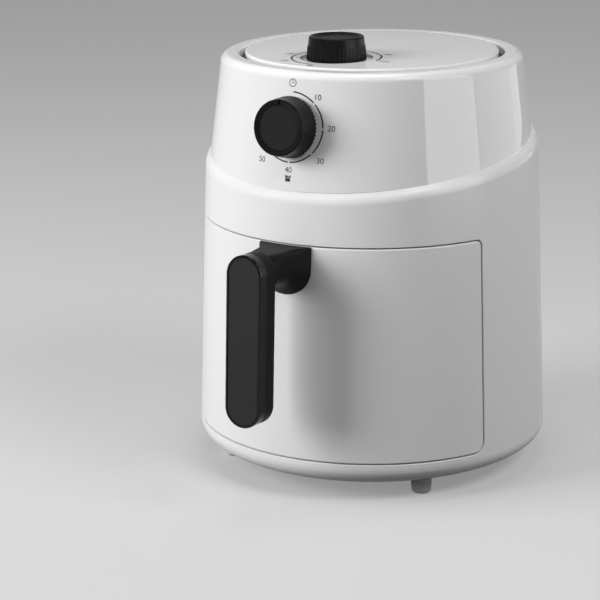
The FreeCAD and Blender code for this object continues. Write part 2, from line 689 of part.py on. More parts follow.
# Upper housing: a steeper cone on the tilted seat, with a rounded rim and a well for the top cover.
# A boss behind its front wall carries the timer.
upper_block = turned("UpperBlock", [
    ("0", "shoulder_z - upper_drop"),
    ("upper_radius + upper_slope * upper_drop", "shoulder_z - upper_drop"),
    ("rim_radius", "rim_z"),
    ("cover_radius + cover_groove", "rim_z"),
    ("cover_radius + cover_groove", "cover_seat_z"),
    ("0", "cover_seat_z"),
])
soften(upper_block, "rim_round", ring_at("rim_radius", "rim_z"))
soften(upper_block, "rim_ease", ring_at("cover_radius + cover_groove", "rim_z"))
upper_half = rod("UpperHalf", "reach", on_tilt("0"), "cap_height", ACROSS, "shoulder_tilt")
upper_solid = common("UpperSolid", upper_block, upper_half)
upper_inside = turned("UpperInside", [
    ("0", "shoulder_z - 2 * upper_drop"),
    ("upper_radius + 2 * upper_slope * upper_drop - upper_wall", "shoulder_z - 2 * upper_drop"),
    ("upper_radius - upper_slope * (cover_seat_z - seat_wall - shoulder_z) - upper_wall",
     "cover_seat_z - seat_wall"),
    ("0", "cover_seat_z - seat_wall"),
])
cover_bore = rod("CoverBore", "cover_radius - seat_width", ("0", "0", "shoulder_z"), "crown_height")
upper_shell = cut("UpperShell", upper_solid, upper_inside, cover_bore)
timer_boss = common("TimerBoss", upper_block, rod("TimerBossRod", "timer_boss_radius",
                    on_timer("-timer_boss_drop"), "2 * timer_boss_drop", ACROSS, "timer_turn"))
timer_hole = rod("TimerHole", "knob_shaft_radius + shaft_clear", on_timer("-2 * timer_boss_drop"),
                 "4 * timer_boss_drop", ACROSS, "timer_turn")
node("upper_housing", cut("UpperHousing", fuse("UpperBossed", upper_shell, timer_boss), timer_hole))

# Top cover: a low dome with a skirt on the housing seat, a flat for the temperature knob and a pad below.
cover_dome = turned("CoverDome", [
    ("0", "cover_top_z - cover_skin"),
    ("cover_radius - cover_skin", "cover_edge_z - cover_skin"),
    ("cover_radius - cover_skin", "cover_seat_z"),
    ("cover_radius", "cover_seat_z"),
    ("cover_radius", "cover_edge_z - cover_round", "cover_round"),
    ("cover_flat", "cover_edge_z", "(pow(cover_flat; 2) + pow(cover_crown; 2)) / (2 * cover_crown)"),
    ("0", "cover_top_z"),
])
dial_pad = rod("DialPad", "dial_pad_radius", ("0", "-dial_reach", "thermo_z"), "dial_pad_drop - cover_skin")
dial_recess = rod("DialRecess", "dial_recess_radius", ("0", "-dial_reach", "recess_z"), "knob_height")
dial_hole = rod("DialHole", "knob_shaft_radius + shaft_clear",
                ("0", "-dial_reach", "thermo_z - dial_pad_drop"), "3 * dial_pad_drop")
node("top_cover", cut("TopCover", fuse("CoverPadded", cover_dome, dial_pad), dial_recess, dial_hole))

# Base tray: a shallow dish under the shell with air intake slots and four screw posts for the liner.
tray = turned("BaseTray", [
    ("0", "foot_height"),
    ("base_flat", "foot_height", "dish_radius"),
    ("base_flat + dish_reach", "dish_edge_z", "tuck_radius"),
    ("seam_radius", "seam_z"),
    ("tray_lip", "seam_z", "-tray_round"),
    ("base_flat + tray_dish * cos(dish_angle)", "tray_floor_z + tray_dish * (1 - sin(dish_angle))",
     "-tray_dish"),
    ("base_flat", "tray_floor_z"),
    ("0", "tray_floor_z"),
])
POSTS = [(f"{x}post_circle * cos(45)", f"{y}post_circle * sin(45)") for x in SIDES for y in SIDES]
pad(tray, sketch(tray, "XY_Plane", circles=[(x, y, "post_radius") for x, y in POSTS], lift="foot_height"),
    "liner_z - foot_height")
pocket(tray, sketch(tray, "XY_Plane", circles=[(x, y, "screw_head + screw_gap") for x, y in POSTS],
                    lift="foot_height"), "2 * screw_head_height")
pocket(tray, sketch(tray, "XY_Plane", circles=[(x, y, "screw_radius + screw_gap") for x, y in POSTS],
                    lift="foot_height"), "liner_z")
slot_sketch = sketch(tray, "XY_Plane", [[
    ("slot_inner", "-slot_width / 2"),
    ("slot_outer", "-slot_width / 2", "left"),
    ("slot_outer", "slot_width / 2"),
    ("slot_inner", "slot_width / 2", "left"),
]], lift="foot_height")
around(tray, pocket(tray, slot_sketch, "2 * tray_wall"), slot_sketch, "slot_count")
node("base_tray", tray)

# Feet: four short rounded studs under the dish of the tray.
tray_block = turned("TrayBlock", [
    ("0", "foot_height"),
    ("base_flat", "foot_height", "dish_radius"),
    ("base_flat + dish_reach", "dish_edge_z", "tuck_radius"),
    ("seam_radius", "seam_z"),
    ("0", "seam_z"),
])
feet = []
for x in SIDES:
    for y in SIDES:
        stud = turned("Foot", [
            ("0", "0"),
            ("foot_radius - foot_round / 2", "0"),
            ("foot_radius", "foot_height + foot_round"),
            ("0", "foot_height + foot_round"),
        ])
        soften(stud, "foot_round", ring_at("foot_radius - foot_round / 2", "0"))
        seat(stud, (f"{x}foot_circle * sin(foot_angle)", f"{y}foot_circle * cos(foot_angle)", "0"))
        feet.append(cut("FootSeated", stud, tray_block))
node("feet", group("Feet", *feet))

# Screws up through the tray posts into the floor of the cooking chamber.
screws = []
for x, y in POSTS:
    head = rod("BaseScrewHead", "screw_head", (x, y, "foot_height + screw_head_height"), "screw_head_height")
    shank = rod("BaseScrewShank", "screw_radius", (x, y, "foot_height + screw_head_height"),
                "liner_z + 2 * sheet_wall - foot_height - screw_head_height")
    screws.append(fuse("BaseScrew", head, shank))
node("base_screws", group("BaseScrews", *screws))

# Cooking chamber: a sheet liner, round at the back and open at the front, with a floor and two rails.
liner = body("ChamberLiner")
pad(liner, sketch(liner, "XY_Plane", [[
    ("liner_radius", "-liner_reach"),
    ("liner_radius", "0", "left"),
    ("-liner_radius", "0"),
    ("-liner_radius", "-liner_reach"),
    ("-(liner_radius - sheet_wall)", "-liner_reach"),
    ("-(liner_radius - sheet_wall)", "0", "right"),
    ("liner_radius - sheet_wall", "0"),
    ("liner_radius - sheet_wall", "-liner_reach"),
]], lift="liner_z"), "reflector_z - liner_z")
pad(liner, sketch(liner, "XY_Plane", circles=[("0", "0", "liner_radius")], lift="liner_z"), "sheet_wall")
pocket(liner, sketch(liner, "XY_Plane", circles=[(x, y, "screw_radius + screw_gap") for x, y in POSTS],
                     lift="liner_z"), "2 * sheet_wall")
node("chamber_liner", liner)
rails = [box("DrawerRail", (f"{side}rail_spread - rail_width / 2", "-rail_front", "rail_z"),
             ("rail_width", "rail_front + rail_tail", "rail_height")) for side in SIDES]
node("drawer_rails", group("DrawerRails", *rails))

# Heat reflector: an inverted pan over the chamber, with a flange on the liner, holes for the shaft, the
# element ends and the sensor, and a window to the exhaust duct.
reflector_pan = turned("ReflectorPan", [
    ("shaft_radius + shaft_clear", "reflector_top - sheet_wall"),
    ("reflector_radius - sheet_wall", "reflector_top - sheet_wall"),
    ("reflector_radius - sheet_wall", "reflector_z"),
    ("reflector_radius + reflector_flange", "reflector_z"),
    ("reflector_radius + reflector_flange", "reflector_z + sheet_wall"),
    ("reflector_radius", "reflector_z + sheet_wall"),
    ("reflector_radius", "reflector_top"),
    ("shaft_radius + shaft_clear", "reflector_top"),
])
ENDS = [
    (f"{ring} * cos(element_open)", f"{ring} * sin(element_open)")
    for ring in ("element_outer", "element_leg")
]
element_holes = seat(group("ElementHoles", *[
    rod("ElementHole", "element_tube + element_clear", (x, y, "element_z"), "2 * element_drop")
    for x, y in ENDS
]), ("0", "0", "0"), (0, 0, 1), "element_turn")
sensor_hole = rod("SensorHole", "sensor_radius + seat_fit", ("sensor_side", "-sensor_front", "element_z"),
                  "2 * element_drop")
duct_space = sector("DuctSpace", "vent_angle", "vent_border", "vent_z + vent_border",
                    "vent_z + vent_height - vent_border", rear=True)
node("heat_reflector", cut("HeatReflector", reflector_pan, element_holes, sensor_hole, duct_space))

# Exhaust: a sheet duct from the reflector window to the rear wall, and a slotted grille flush with it.
duct_block = sector("DuctBlock", "vent_angle", "vent_border - duct_wall", "vent_z + vent_border - duct_wall",
                    "vent_z + vent_height - vent_border + duct_wall", rear=True)
duct_limit = core("DuctLimit", "shell_wall")
duct_start = rod("DuctStart", "reflector_radius", ("0", "0", "reflector_z"), "reflector_height")
node("exhaust_duct", cut("ExhaustDuct", common("DuctSolid", duct_limit, duct_block), duct_start, duct_space))
grille_sector = sector("GrilleSector", "vent_angle", "running_gap", "vent_z + running_gap",
                       "vent_z + vent_height - running_gap", rear=True)
grille_slots = [box("GrilleSlot", ("-vent_half", "0", f"vent_z + vent_border + {index} * vent_pitch"),
                    ("2 * vent_half", "reach", "vent_slot")) for index in range(int(value("vent_slots")))]
wall_core = core("WallCore", "shell_wall")
grille_solid = common("GrilleSolid", shell_block, grille_sector)
node("rear_vent", cut("RearVent", grille_solid, wall_core, *grille_slots))

# Cord gland: a bush in the rear wall with a flange outside.
gland_disc = rod("GlandDisc", "gland_flange", ("0", "gland_reach - gland_lip", "gland_z"), "2 * gland_lip",
                 ACROSS, "-90")
gland_flange = cut("GlandFlange", gland_disc, shell_block)
gland_bush = rod("GlandBush", "gland_radius", ("0", "gland_reach - shell_wall - gland_inside", "gland_z"),
                 "shell_wall + gland_inside + gland_lip", ACROSS, "-90")
gland_bore = rod("GlandBore", "gland_bore", ("0", "gland_reach - 2 * gland_flange", "gland_z"),
                 "4 * gland_flange", ACROSS, "-90")
node("cord_gland", cut("CordGland", fuse("GlandSolid", gland_flange, gland_bush), gland_bore))
node("terminal_block", box("TerminalBlock", ("-terminal_width / 2", "terminal_back - terminal_depth / 2",
                           "tray_floor_z"), ("terminal_width", "terminal_depth", "terminal_height")))

# Heating element: two open rings of sheathed tube joined at one end, with both ends turned up.
heater = [
    solid("Torus", "HeaterRing", ("0", "0", "element_z"), Radius1=ring, Radius2="element_tube",
          Angle3="element_open") for ring in ("element_outer", "element_inner")
]
heater.append(rod("HeaterLink", "element_tube", ("element_inner", "0", "element_z"),
                  "element_outer - element_inner", (0, 1, 0), "90"))
for x, y in ENDS:
    heater.append(rod("HeaterEnd", "element_tube", (x, y, "element_z"), "element_drop + element_pin_height"))
    heater.append(solid("Sphere", "HeaterElbow", (x, y, "element_z"), Radius="element_tube"))
for ring in ("element_outer", "element_inner"):
    heater.append(solid("Sphere", "HeaterCorner", (ring, "0", "element_z"), Radius="element_tube"))
heater_tail = rod("HeaterTail", "element_tube", ("element_inner", "0", "element_z"),
                  "element_leg - element_inner", (0, 1, 0), "90")
heater_turn = solid("Sphere", "HeaterTurn", ("element_inner", "0", "element_z"), Radius="element_tube")
heater_return = fuse("HeaterReturn", heater_tail, heater_turn)
heater.append(seat(heater_return, ("0", "0", "0"), (0, 0, 1), "element_open"))
node("heating_element", seat(fuse("HeatingElement", *heater), ("0", "0", "0"), (0, 0, 1), "element_turn"))

# Clips: three hangers from the reflector that hold both rings, outside the fan.
tube_room = [
    solid("Torus", "TubeRoom", ("0", "0", "element_z"), Radius1=ring, Radius2="element_tube + seat_fit")
    for ring in ("element_outer", "element_inner")
]
clips = []
for azimuth in ("30", "150", "270"):
    bar = box("ClipBar",
              ("element_inner - clip_overhang", "-clip_wall / 2", "element_z - 1.5 * element_tube"),
              ("element_outer - element_inner + 2 * clip_overhang", "clip_wall", "3 * element_tube"))
    post = box("ClipPost", ("fan_radius + fan_clear", "-clip_wall / 2", "element_z"),
               ("clip_post", "clip_wall", "element_drop - sheet_wall"))
    clip = cut("Clip", fuse("ClipSolid", bar, post), *tube_room)
    clips.append(seat(clip, ("0", "0", "0"), (0, 0, 1), azimuth))
node("element_clips", group("ElementClips", *clips))

# Guard: wire rings on crossed wires under the element, held in the skirt of the reflector.
guard = [
    solid("Torus", "GuardRing", ("0", "0", "guard_z"), Radius1=ring, Radius2="guard_wire")
    for ring in ("guard_inner", "(guard_inner + guard_outer) / 2", "guard_outer")
]
guard_limit = rod("GuardLimit", "guard_half", ("0", "0", "reflector_z"), "reflector_height")
guard_cross = fuse(
    "GuardCross",
    rod("GuardWireX", "guard_wire", ("-guard_half", "0", "guard_z"), "2 * guard_half", (0, 1, 0), "90"),
    rod("GuardWireY", "guard_wire", ("0", "guard_half", "guard_z"), "2 * guard_half", ACROSS, "90"),
)
guard_wires = common("GuardWires", guard_limit, guard_cross)
node("element_guard", fuse("ElementGuard", guard_wires, *guard))


def fan(name, low, radius, height, blades):
    """A hub and disc with straight blades, pressed on the motor shaft."""
    item = turned(name, [
        ("shaft_radius + seat_fit", low),
        ("fan_hub", low),
        ("fan_hub", f"{low} + {height} - blade_wall"),
        (f"{radius} - blade_overhang", f"{low} + {height} - blade_wall"),
        (f"{radius} - blade_overhang", f"{low} + {height}"),
        ("shaft_radius + seat_fit", f"{low} + {height}"),
    ])
    drawing = sketch(item, "XY_Plane", [[
        ("fan_hub - blade_wall", "-blade_wall / 2"),
        (radius, "-blade_wall / 2"),
        (radius, "blade_wall / 2"),
        ("fan_hub - blade_wall", "blade_wall / 2"),
    ]], lift=low)
    around(item, pad(item, drawing, height), drawing, blades)
    return item


# Fan group: one shaft through the reflector carries the hot-air fan below and the cooling fan above.
node("convection_fan", fan("ConvectionFan", "fan_z", "fan_radius", "fan_height", "fan_blades"))
node("cooling_fan", fan("CoolingFan", "cool_z", "cool_radius", "cool_height", "cool_blades"))
node("motor_shaft", rod("MotorShaft", "shaft_radius", ("0", "0", "fan_z - nut_height"),
                        "motor_top - fan_z + nut_height"))
nuts = []
for low in ("fan_z - nut_height", "cool_z + cool_height"):
    hexagon = solid("Prism", "FanNutHex", ("0", "0", low), Circumradius="nut_radius", Height="nut_height")
    bore = rod("FanNutBore", "shaft_radius + seat_fit", ("0", "0", low), "nut_height")
    nuts.append(cut("FanNut", hexagon, bore))
node("fan_nuts", group("FanNuts", *nuts))

# Motor: a can on a strap that bridges the cooling fan, with two screws from below.
strap_z = "reflector_top + bracket_rise"
strap = [box("BracketStrap", ("-bracket_reach", "-bracket_width / 2", strap_z),
             ("2 * bracket_reach", "bracket_width", "bracket_wall"))]
strap.append(box("BracketLegRight", ("bracket_reach - bracket_wall", "-bracket_width / 2", "reflector_top"),
                 ("bracket_wall", "bracket_width", "bracket_rise + bracket_wall")))
strap.append(box("BracketLegLeft", ("-bracket_reach", "-bracket_width / 2", "reflector_top"),
                 ("bracket_wall", "bracket_width", "bracket_rise + bracket_wall")))
strap.append(box("BracketFootRight", ("bracket_reach - bracket_wall", "-bracket_width / 2", "reflector_top"),
                 ("bracket_foot", "bracket_width", "bracket_wall")))
strap.append(box("BracketFootLeft", ("-bracket_reach - bracket_foot + bracket_wall", "-bracket_width / 2",
                 "reflector_top"), ("bracket_foot", "bracket_width", "bracket_wall")))
motor_screws = []
motor_holes = []
for side in SIDES:
    spot = f"{side}motor_screw_side"
    low = f"{strap_z} - screw_head_height"
    head = rod("MotorScrewHead", "screw_head", (spot, "0", low), "screw_head_height")
    length = "screw_head_height + bracket_wall + bearing_height"
    shank = rod("MotorScrewShank", "screw_radius", (spot, "0", low), length)
    motor_screws.append(fuse("MotorScrew", head, shank))
    motor_holes.append(rod("MotorScrewHole", "screw_radius + screw_gap", (spot, "0", low), length))
strap_hole = rod("StrapHole", "shaft_radius + shaft_clear", ("0", "0", "reflector_top"), "2 * bracket_rise")
node("motor_bracket", cut("MotorBracket", fuse("BracketSolid", *strap), strap_hole, *motor_holes))
barrel = rod("MotorBarrel", "motor_radius", ("0", "0", "motor_z"), "motor_height")
bearing = rod("MotorBearing", "bearing_radius", ("0", "0", "motor_z"), "motor_height + bearing_height")
motor_can = fuse("MotorCan", barrel, bearing)
motor_bore = rod("MotorBore", "shaft_radius + shaft_fit", ("0", "0", "reflector_top"), "motor_top")
node("motor", cut("Motor", motor_can, motor_bore, *motor_holes))
node("motor_screws", group("MotorScrews", *motor_screws))


def knob(name, place, axis=None, angle="0"):
    """A ribbed knob with a hub for its shaft, a dished face with a sunk disc and a pointer notch."""
    item = turned(name, [
        ("0", "knob_grip_depth"),
        ("knob_shaft_radius + seat_fit", "knob_grip_depth"),
        ("knob_shaft_radius + seat_fit", "0"),
        ("knob_hub", "0"),
        ("knob_hub", "knob_rib_height"),
        ("knob_face_radius - knob_wall", "knob_rib_height"),
        ("knob_radius - knob_wall", "0"),
        ("knob_radius", "0"),
        ("knob_face_radius", "knob_height - knob_edge", "knob_edge"),
        ("knob_face_radius - knob_edge", "knob_height"),
        ("cap_radius + cap_gap", "knob_height - knob_dish"),
        ("cap_radius + cap_gap", "knob_height - knob_dish - cap_wall"),
        ("0", "knob_height - knob_dish - cap_wall"),
    ])
    rib = sketch(item, "XY_Plane", circles=[("knob_radius + knob_rib_cut / 3", "0", "knob_rib_cut")])
    around(item, pocket(item, rib, "knob_rib_height"), rib, "knob_ribs")
    pocket(item, sketch(item, "XY_Plane", [[
        ("-pointer_width / 2", "cap_radius + cap_gap"),
        ("pointer_width / 2", "cap_radius + cap_gap"),
        ("pointer_width / 2", "knob_radius"),
        ("-pointer_width / 2", "knob_radius"),
    ]], lift="knob_height - knob_dish"), "2 * knob_dish")
    return seat(item, place, axis, angle)


# Timer on the front: a clockwork box on its boss, with a bell behind it and a shaft through the housing.
timer_box = box("TimerBox", ("-timer_width / 2", "-timer_width / 2", "-timer_boss_drop - timer_depth"),
                ("timer_width", "timer_width", "timer_depth"))
timer_socket = rod("TimerSocket", "knob_shaft_radius + shaft_fit",
                   ("0", "0", "-timer_boss_drop - knob_grip_depth"), "2 * knob_grip_depth")
node("timer_body", seat(cut("TimerBody", timer_box, timer_socket), on_timer("0"), ACROSS, "timer_turn"))
node("timer_bell", rod("TimerBell", "bell_radius", on_timer("-timer_boss_drop - timer_depth - bell_depth"),
                       "bell_depth", ACROSS, "timer_turn"))
node("timer_shaft", rod("TimerShaft", "knob_shaft_radius",
                        on_timer("-timer_boss_drop - knob_grip_depth + running_gap"),
                        "timer_boss_drop + 2 * knob_grip_depth + knob_lift - 2 * running_gap",
                        ACROSS, "timer_turn"))
node("timer_knob", knob("TimerKnob", on_timer("knob_lift"), ACROSS, "timer_turn"))
node("timer_knob_cap", rod("TimerKnobCap", "cap_radius", on_timer("knob_lift + cap_rise"), "cap_wall",
                           ACROSS, "timer_turn"))

# Thermostat under the top cover, with its shaft through the cover, a fine tube and a sensor in the chamber.
thermo_box = box("ThermostatBox",
                 ("-thermo_width / 2", "-dial_reach - thermo_width / 2", "thermo_z - thermo_depth"),
                 ("thermo_width", "thermo_width", "thermo_depth"))
thermo_socket = rod("ThermostatSocket", "knob_shaft_radius + shaft_fit",
                    ("0", "-dial_reach", "thermo_z - knob_grip_depth"), "2 * knob_grip_depth")
node("thermostat_body", cut("ThermostatBody", thermo_box, thermo_socket))
node("thermostat_shaft", rod("ThermostatShaft", "knob_shaft_radius",
                             ("0", "-dial_reach", "thermo_z - knob_grip_depth + running_gap"),
                             "recess_z - thermo_z + 2 * knob_grip_depth + knob_lift - 2 * running_gap"))
node("temperature_knob", knob("TemperatureKnob", ("0", "-dial_reach", "recess_z + knob_lift"),
                              (0, 0, 1), "180"))
node("temperature_knob_cap", rod("TemperatureKnobCap", "cap_radius",
                                 ("0", "-dial_reach", "recess_z + knob_lift + cap_rise"), "cap_wall"))
sensor_rod = rod("SensorRod", "sensor_radius",
                 ("sensor_side", "-sensor_front", "reflector_top - sensor_length"),
                 "sensor_length + 2 * sheet_wall")
tube_up = rod("SensorTubeUp", "capillary_radius", ("sensor_side", "-sensor_front", "reflector_top"),
              "capillary_z - reflector_top")
tube_bend = solid("Sphere", "SensorTubeBend", ("sensor_side", "-sensor_front", "capillary_z"),
                  Radius="capillary_radius")
tube_in = rod("SensorTubeIn", "capillary_radius", ("thermo_width / 2", "-sensor_front", "capillary_z"),
              "sensor_side - thermo_width / 2", (0, 1, 0), "90")
node("thermostat_sensor", fuse("ThermostatSensor", sensor_rod, tube_up, tube_bend, tube_in))
node("thermal_fuse", box("ThermalFuse",
                         ("-fuse_side - fuse_radius", "-bracket_width - fuse_length", "reflector_top"),
                         ("2 * fuse_radius", "fuse_length", "fuse_radius")))

# Drawer switch: a small box on the reflector skirt, pressed by the closed drawer through its plunger.
switch_low_z = "switch_z - switch_height / 2"
switch_box = box("SwitchBox", ("switch_side - switch_width / 2", "-switch_front", switch_low_z),
                 ("switch_width", "switch_depth", "switch_height"))
plunger_hole = rod("PlungerHole", "plunger_radius + shaft_fit",
                   ("switch_side", "-switch_front + plunger_depth", "switch_z"), "2 * plunger_depth",
                   ACROSS, "90")
node("drawer_switch", cut("DrawerSwitch", switch_box, plunger_hole))
bracket_block = box("SwitchBracketBlock", ("switch_side - switch_width / 2", "-switch_back", switch_low_z),
                    ("switch_width", "switch_back", "switch_height"))
node("switch_bracket", cut("SwitchBracket", bracket_block, duct_start))
node("switch_plunger", rod("SwitchPlunger", "plunger_radius",
                           ("switch_side", "-switch_front + plunger_depth - running_gap", "switch_z"),
                           "plunger_depth + plunger_out - running_gap", ACROSS, "90"))

# Drawer front: a curved panel flush with the shell, with a flange round its edge and a sheet behind it.
panel_sector = sector("PanelSector", "drawer_angle", "drawer_gap", "drawer_foot_z + drawer_gap",
                      "drawer_head_z - drawer_gap", "drawer_round_low - drawer_gap",
                      "drawer_round_high - drawer_gap")
hollow_inset = "drawer_gap + panel_skin"
hollow_sector = sector("PanelHollow", "drawer_angle", hollow_inset, f"drawer_foot_z + {hollow_inset}",
                       f"drawer_head_z - ({hollow_inset})", "drawer_round_low - drawer_gap - panel_skin")
sheet_inset = "drawer_gap + panel_skin + running_gap"
sheet_sector = sector("BackingSector", "drawer_angle", sheet_inset, f"drawer_foot_z + {sheet_inset}",
                      f"drawer_head_z - ({sheet_inset})", "drawer_round_low - drawer_gap - panel_skin")
deep_core = core("DeepCore", "panel_depth")
skin_space = common("PanelSpace", core("SkinCore", "panel_skin"), hollow_sector)
screw_holes = [rod("HandleScrewHole", "screw_radius + screw_gap", (f"{side}handle_screw_spread",
                   "-bracket_inner + pot_bracket_wall", "handle_screw_z"),
                   "panel_depth + 3 * pot_bracket_wall + handle_screw_grip", ACROSS, "90") for side in SIDES]
panel_block = eased("PanelEased", common("PanelBlock", shell_block, panel_sector), "panel_edge")
node("drawer_front", cut("DrawerFront", panel_block, deep_core, skin_space, *screw_holes))
backing_core = core("BackingCore", "panel_depth - backing_wall")
backing_block = common("BackingBlock", backing_core, sheet_sector)
node("drawer_backing", cut("DrawerBacking", backing_block, deep_core, *screw_holes))

# Handle: a tilted grip on a tapering arm, a gloss frame on its front and a plate let into the frame.
STADIUM = [
    ("grip_half", "-grip_straight"),
    ("grip_half", "grip_straight", "left"),
    ("-grip_half", "grip_straight"),
    ("-grip_half", "-grip_straight", "left"),
]


def inset_stadium(inset):
    half = f"(grip_half - ({inset}))"
    return [
        (half, "-grip_straight"),
        (half, "grip_straight", "left"),
        (f"-{half}", "grip_straight"),
        (f"-{half}", "-grip_straight", "left"),
    ]


def on_grip(item):
    return seat(item, ("0", "-grip_back", "grip_mid_z"), ACROSS, "-grip_tilt")


def flat_at(depth):
    """Test for edges in the plane of the grip at a depth from its back."""
    def picks(edge):
        limits = edge.BoundBox
        return abs(limits.YMin + value(depth)) < 0.001 and abs(limits.YMax + value(depth)) < 0.001
    return picks


grip = body("HandleGrip")
pad(grip, sketch(grip, "XZ_Plane", [STADIUM]), "grip_body_depth")
on_grip(soften(grip, "grip_round", flat_at("0")))


def arm_section(item, reach_out, share, corner, blend="0"):
    """Section of the arm: level on top and round below, wider by a share of the flare, lower by a blend."""
    half = f"(neck_half + arm_flare * {share})"
    middle = f"neck_low_z - arm_drop * {share} - {blend} + {half}"
    return sketch(item, "XZ_Plane", [[
        (f"-{half}", middle, "left"),
        (half, middle),
        (half, f"arm_top_z - {corner}", corner),
        (f"{half} - {corner}", "arm_top_z"),
        (f"-({half} - {corner})", "arm_top_z", corner),
        (f"-{half}", f"arm_top_z - {corner}"),
    ]], lift=reach_out)


def flared(share):
    return f"(arm_neck_round + (arm_round - arm_neck_round) * {share})"


arm = body("HandleArm")
arm_loft = arm.newObject("PartDesign::AdditiveLoft", "HandleArmLoft")
arm_loft.Profile = arm_section(arm, "arm_root", "1", "arm_round")
arm_loft.Sections = [
    arm_section(arm, "screw_wall", "1", "arm_round"),
    arm_section(arm, "screw_wall + arm_flare_length / 3", "(4 / 9)", flared("(4 / 9)")),
    arm_section(arm, "screw_wall + arm_flare_length * 2 / 3", "(1 / 9)", flared("(1 / 9)")),
    arm_section(arm, "screw_wall + arm_flare_length", "0", "arm_neck_round"),
    arm_section(arm, "grip_back - arm_blend", "0", "((2 * arm_neck_round + arm_head_round) / 3)",
                "arm_blend / 9"),
    arm_section(arm, "grip_back", "0", "arm_head_round", "arm_blend"),
]
node("handle_body", cut("HandleBody", fuse("HandleSolid", grip, arm), shell_block, *screw_holes))

plate_seat = "grip_body_depth + bezel_depth - plate_sink - plate_wall"
bezel = body("HandleBezel")
pad(bezel, sketch(bezel, "XZ_Plane", [STADIUM], lift="grip_body_depth"), "bezel_depth")
pocket(bezel, sketch(bezel, "XZ_Plane", [inset_stadium("bezel_edge")], lift=plate_seat),
       "plate_sink + plate_wall")


def outer_rim(edge):
    """Test for the outer front edges of the frame."""
    limits = edge.BoundBox
    wide = max(abs(limits.XMin), abs(limits.XMax)) > value("grip_half - bezel_edge / 2")
    return flat_at("grip_body_depth + bezel_depth")(edge) and wide


node("handle_bezel", on_grip(soften(bezel, "bezel_round", outer_rim)))
plate = body("HandlePlate")
pad(plate, sketch(plate, "XZ_Plane", [inset_stadium("bezel_edge + plate_gap")], lift=plate_seat),
    "plate_wall")
node("handle_plate", on_grip(plate))

# Handle screws: through the pot bracket and the drawer front into the arm.
handle_screws = []
seat_radius = "(bracket_inner - lower_slope * screw_head)"
seat_y = f"-sqrt(pow({seat_radius}; 2) - pow(handle_screw_spread + screw_head; 2))"
for side in SIDES:
    spot = f"{side}handle_screw_spread"
    head = rod("HandleScrewHead", "screw_head", (spot, f"{seat_y} + screw_head_height", "handle_screw_z"),
               "screw_head_height", ACROSS, "90")
    shank = rod("HandleScrewShank", "screw_radius", (spot, seat_y, "handle_screw_z"),
                "panel_depth + pot_bracket_wall + handle_screw_grip", ACROSS, "90")
    handle_screws.append(fuse("HandleScrew", head, shank))
node("handle_screws", group("HandleScrews", *handle_screws))

# Frying pot: a round coated pan with a rolled rim, on a sheet bracket behind the drawer front.
pot = turned("FryPot", [
    ("0", "pot_z"),
    ("pot_foot", "pot_z"),
    ("pot_mouth", "pot_rim_z - pot_wall"),
    ("pot_rim_radius", "pot_rim_z - pot_wall"),
    ("pot_rim_radius", "pot_rim_z"),
    ("pot_mouth - pot_wall", "pot_rim_z"),
    ("pot_foot - pot_wall", "pot_floor_z"),
    ("0", "pot_floor_z"),
])
soften(pot, "pot_round - pot_wall", ring_at("pot_foot - pot_wall", "pot_floor_z"))
soften(pot, "pot_round", ring_at("pot_foot", "pot_z"))
node("fry_pot", pot)
bracket_front = box("PotBracketFront", ("-bracket_half", "-reach", "pot_bracket_z"),
                    ("2 * bracket_half", "reach", "handle_screw_z + 2 * screw_head - pot_bracket_z"))
bracket_sheet = cut("PotBracketSheet", common("PotBracketCurve", deep_core, bracket_front),
                    core("PotBracketBack", "panel_depth + pot_bracket_wall"))
bracket_bar = box("PotBracketBar", ("-bracket_half", "-reach", "pot_bracket_z"),
                  ("2 * bracket_half", "reach - pot_foot + pot_bracket_link", "pot_bracket_link"))
pot_outer = solid("Cone", "PotOuter", ("0", "0", "pot_z"), Radius1="pot_foot", Radius2="pot_mouth",
                  Height="pot_height - pot_wall")
bracket_link = cut("PotBracketLink", common("PotBracketReach", deep_core, bracket_bar), pot_outer)
node("pot_bracket", cut("PotBracket", fuse("PotBracketSolid", bracket_sheet, bracket_link), *screw_holes))

# Crisper plate: a perforated tray on four soft bumpers that stands in the pot and lifts out.
crisper = turned("CrisperPlate", [
    ("crisper_eye", "crisper_z"),
    ("crisper_radius - crisper_wall", "crisper_z"),
    ("crisper_radius - crisper_wall", "crisper_z - crisper_skirt"),
    ("crisper_radius", "crisper_z - crisper_skirt"),
    ("crisper_radius", "crisper_z + crisper_wall"),
    ("crisper_eye", "crisper_z + crisper_wall"),
])
for ring, count in (("crisper_ring_one", "crisper_count_one"), ("crisper_ring_two", "crisper_count_two"),
                    ("crisper_ring_three", "crisper_count_three")):
    drawing = sketch(crisper, "XY_Plane", circles=[(ring, "0", "crisper_hole")],
                     lift="crisper_z - crisper_wall")
    around(crisper, pocket(crisper, drawing, "3 * crisper_wall"), drawing, count)
node("crisper_plate", crisper)
bumpers = [rod("CrisperBumper", "bumper_radius",
               (f"{x}bumper_circle", f"{y}bumper_circle", "pot_floor_z + running_gap"),
               "crisper_lift - running_gap") for x in SIDES for y in SIDES]
node("crisper_bumpers", group("CrisperBumpers", *bumpers))

# Every object is checked before any piece is written.
doc.recompute()
for item in doc.Objects:
    if "Invalid" in item.State or "Error" in item.State:
        raise RuntimeError(f"{item.Name} failed: {item.State} {item.getStatusString()}")
for name, item in NODES:
    if item.Shape.isNull() or not item.Shape.isValid() or not item.Shape.Solids:
        raise RuntimeError(f"{name} has no valid solid")
for name, item in NODES:
    item.Shape.exportStep(f"parts/{name}.step")
    print(f"{name}: {len(item.Shape.Solids)} solids, {item.Shape.Volume / 1000:.2f} cm3")
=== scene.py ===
import bmesh
import bpy
import json
import math
from mathutils import Matrix, Vector

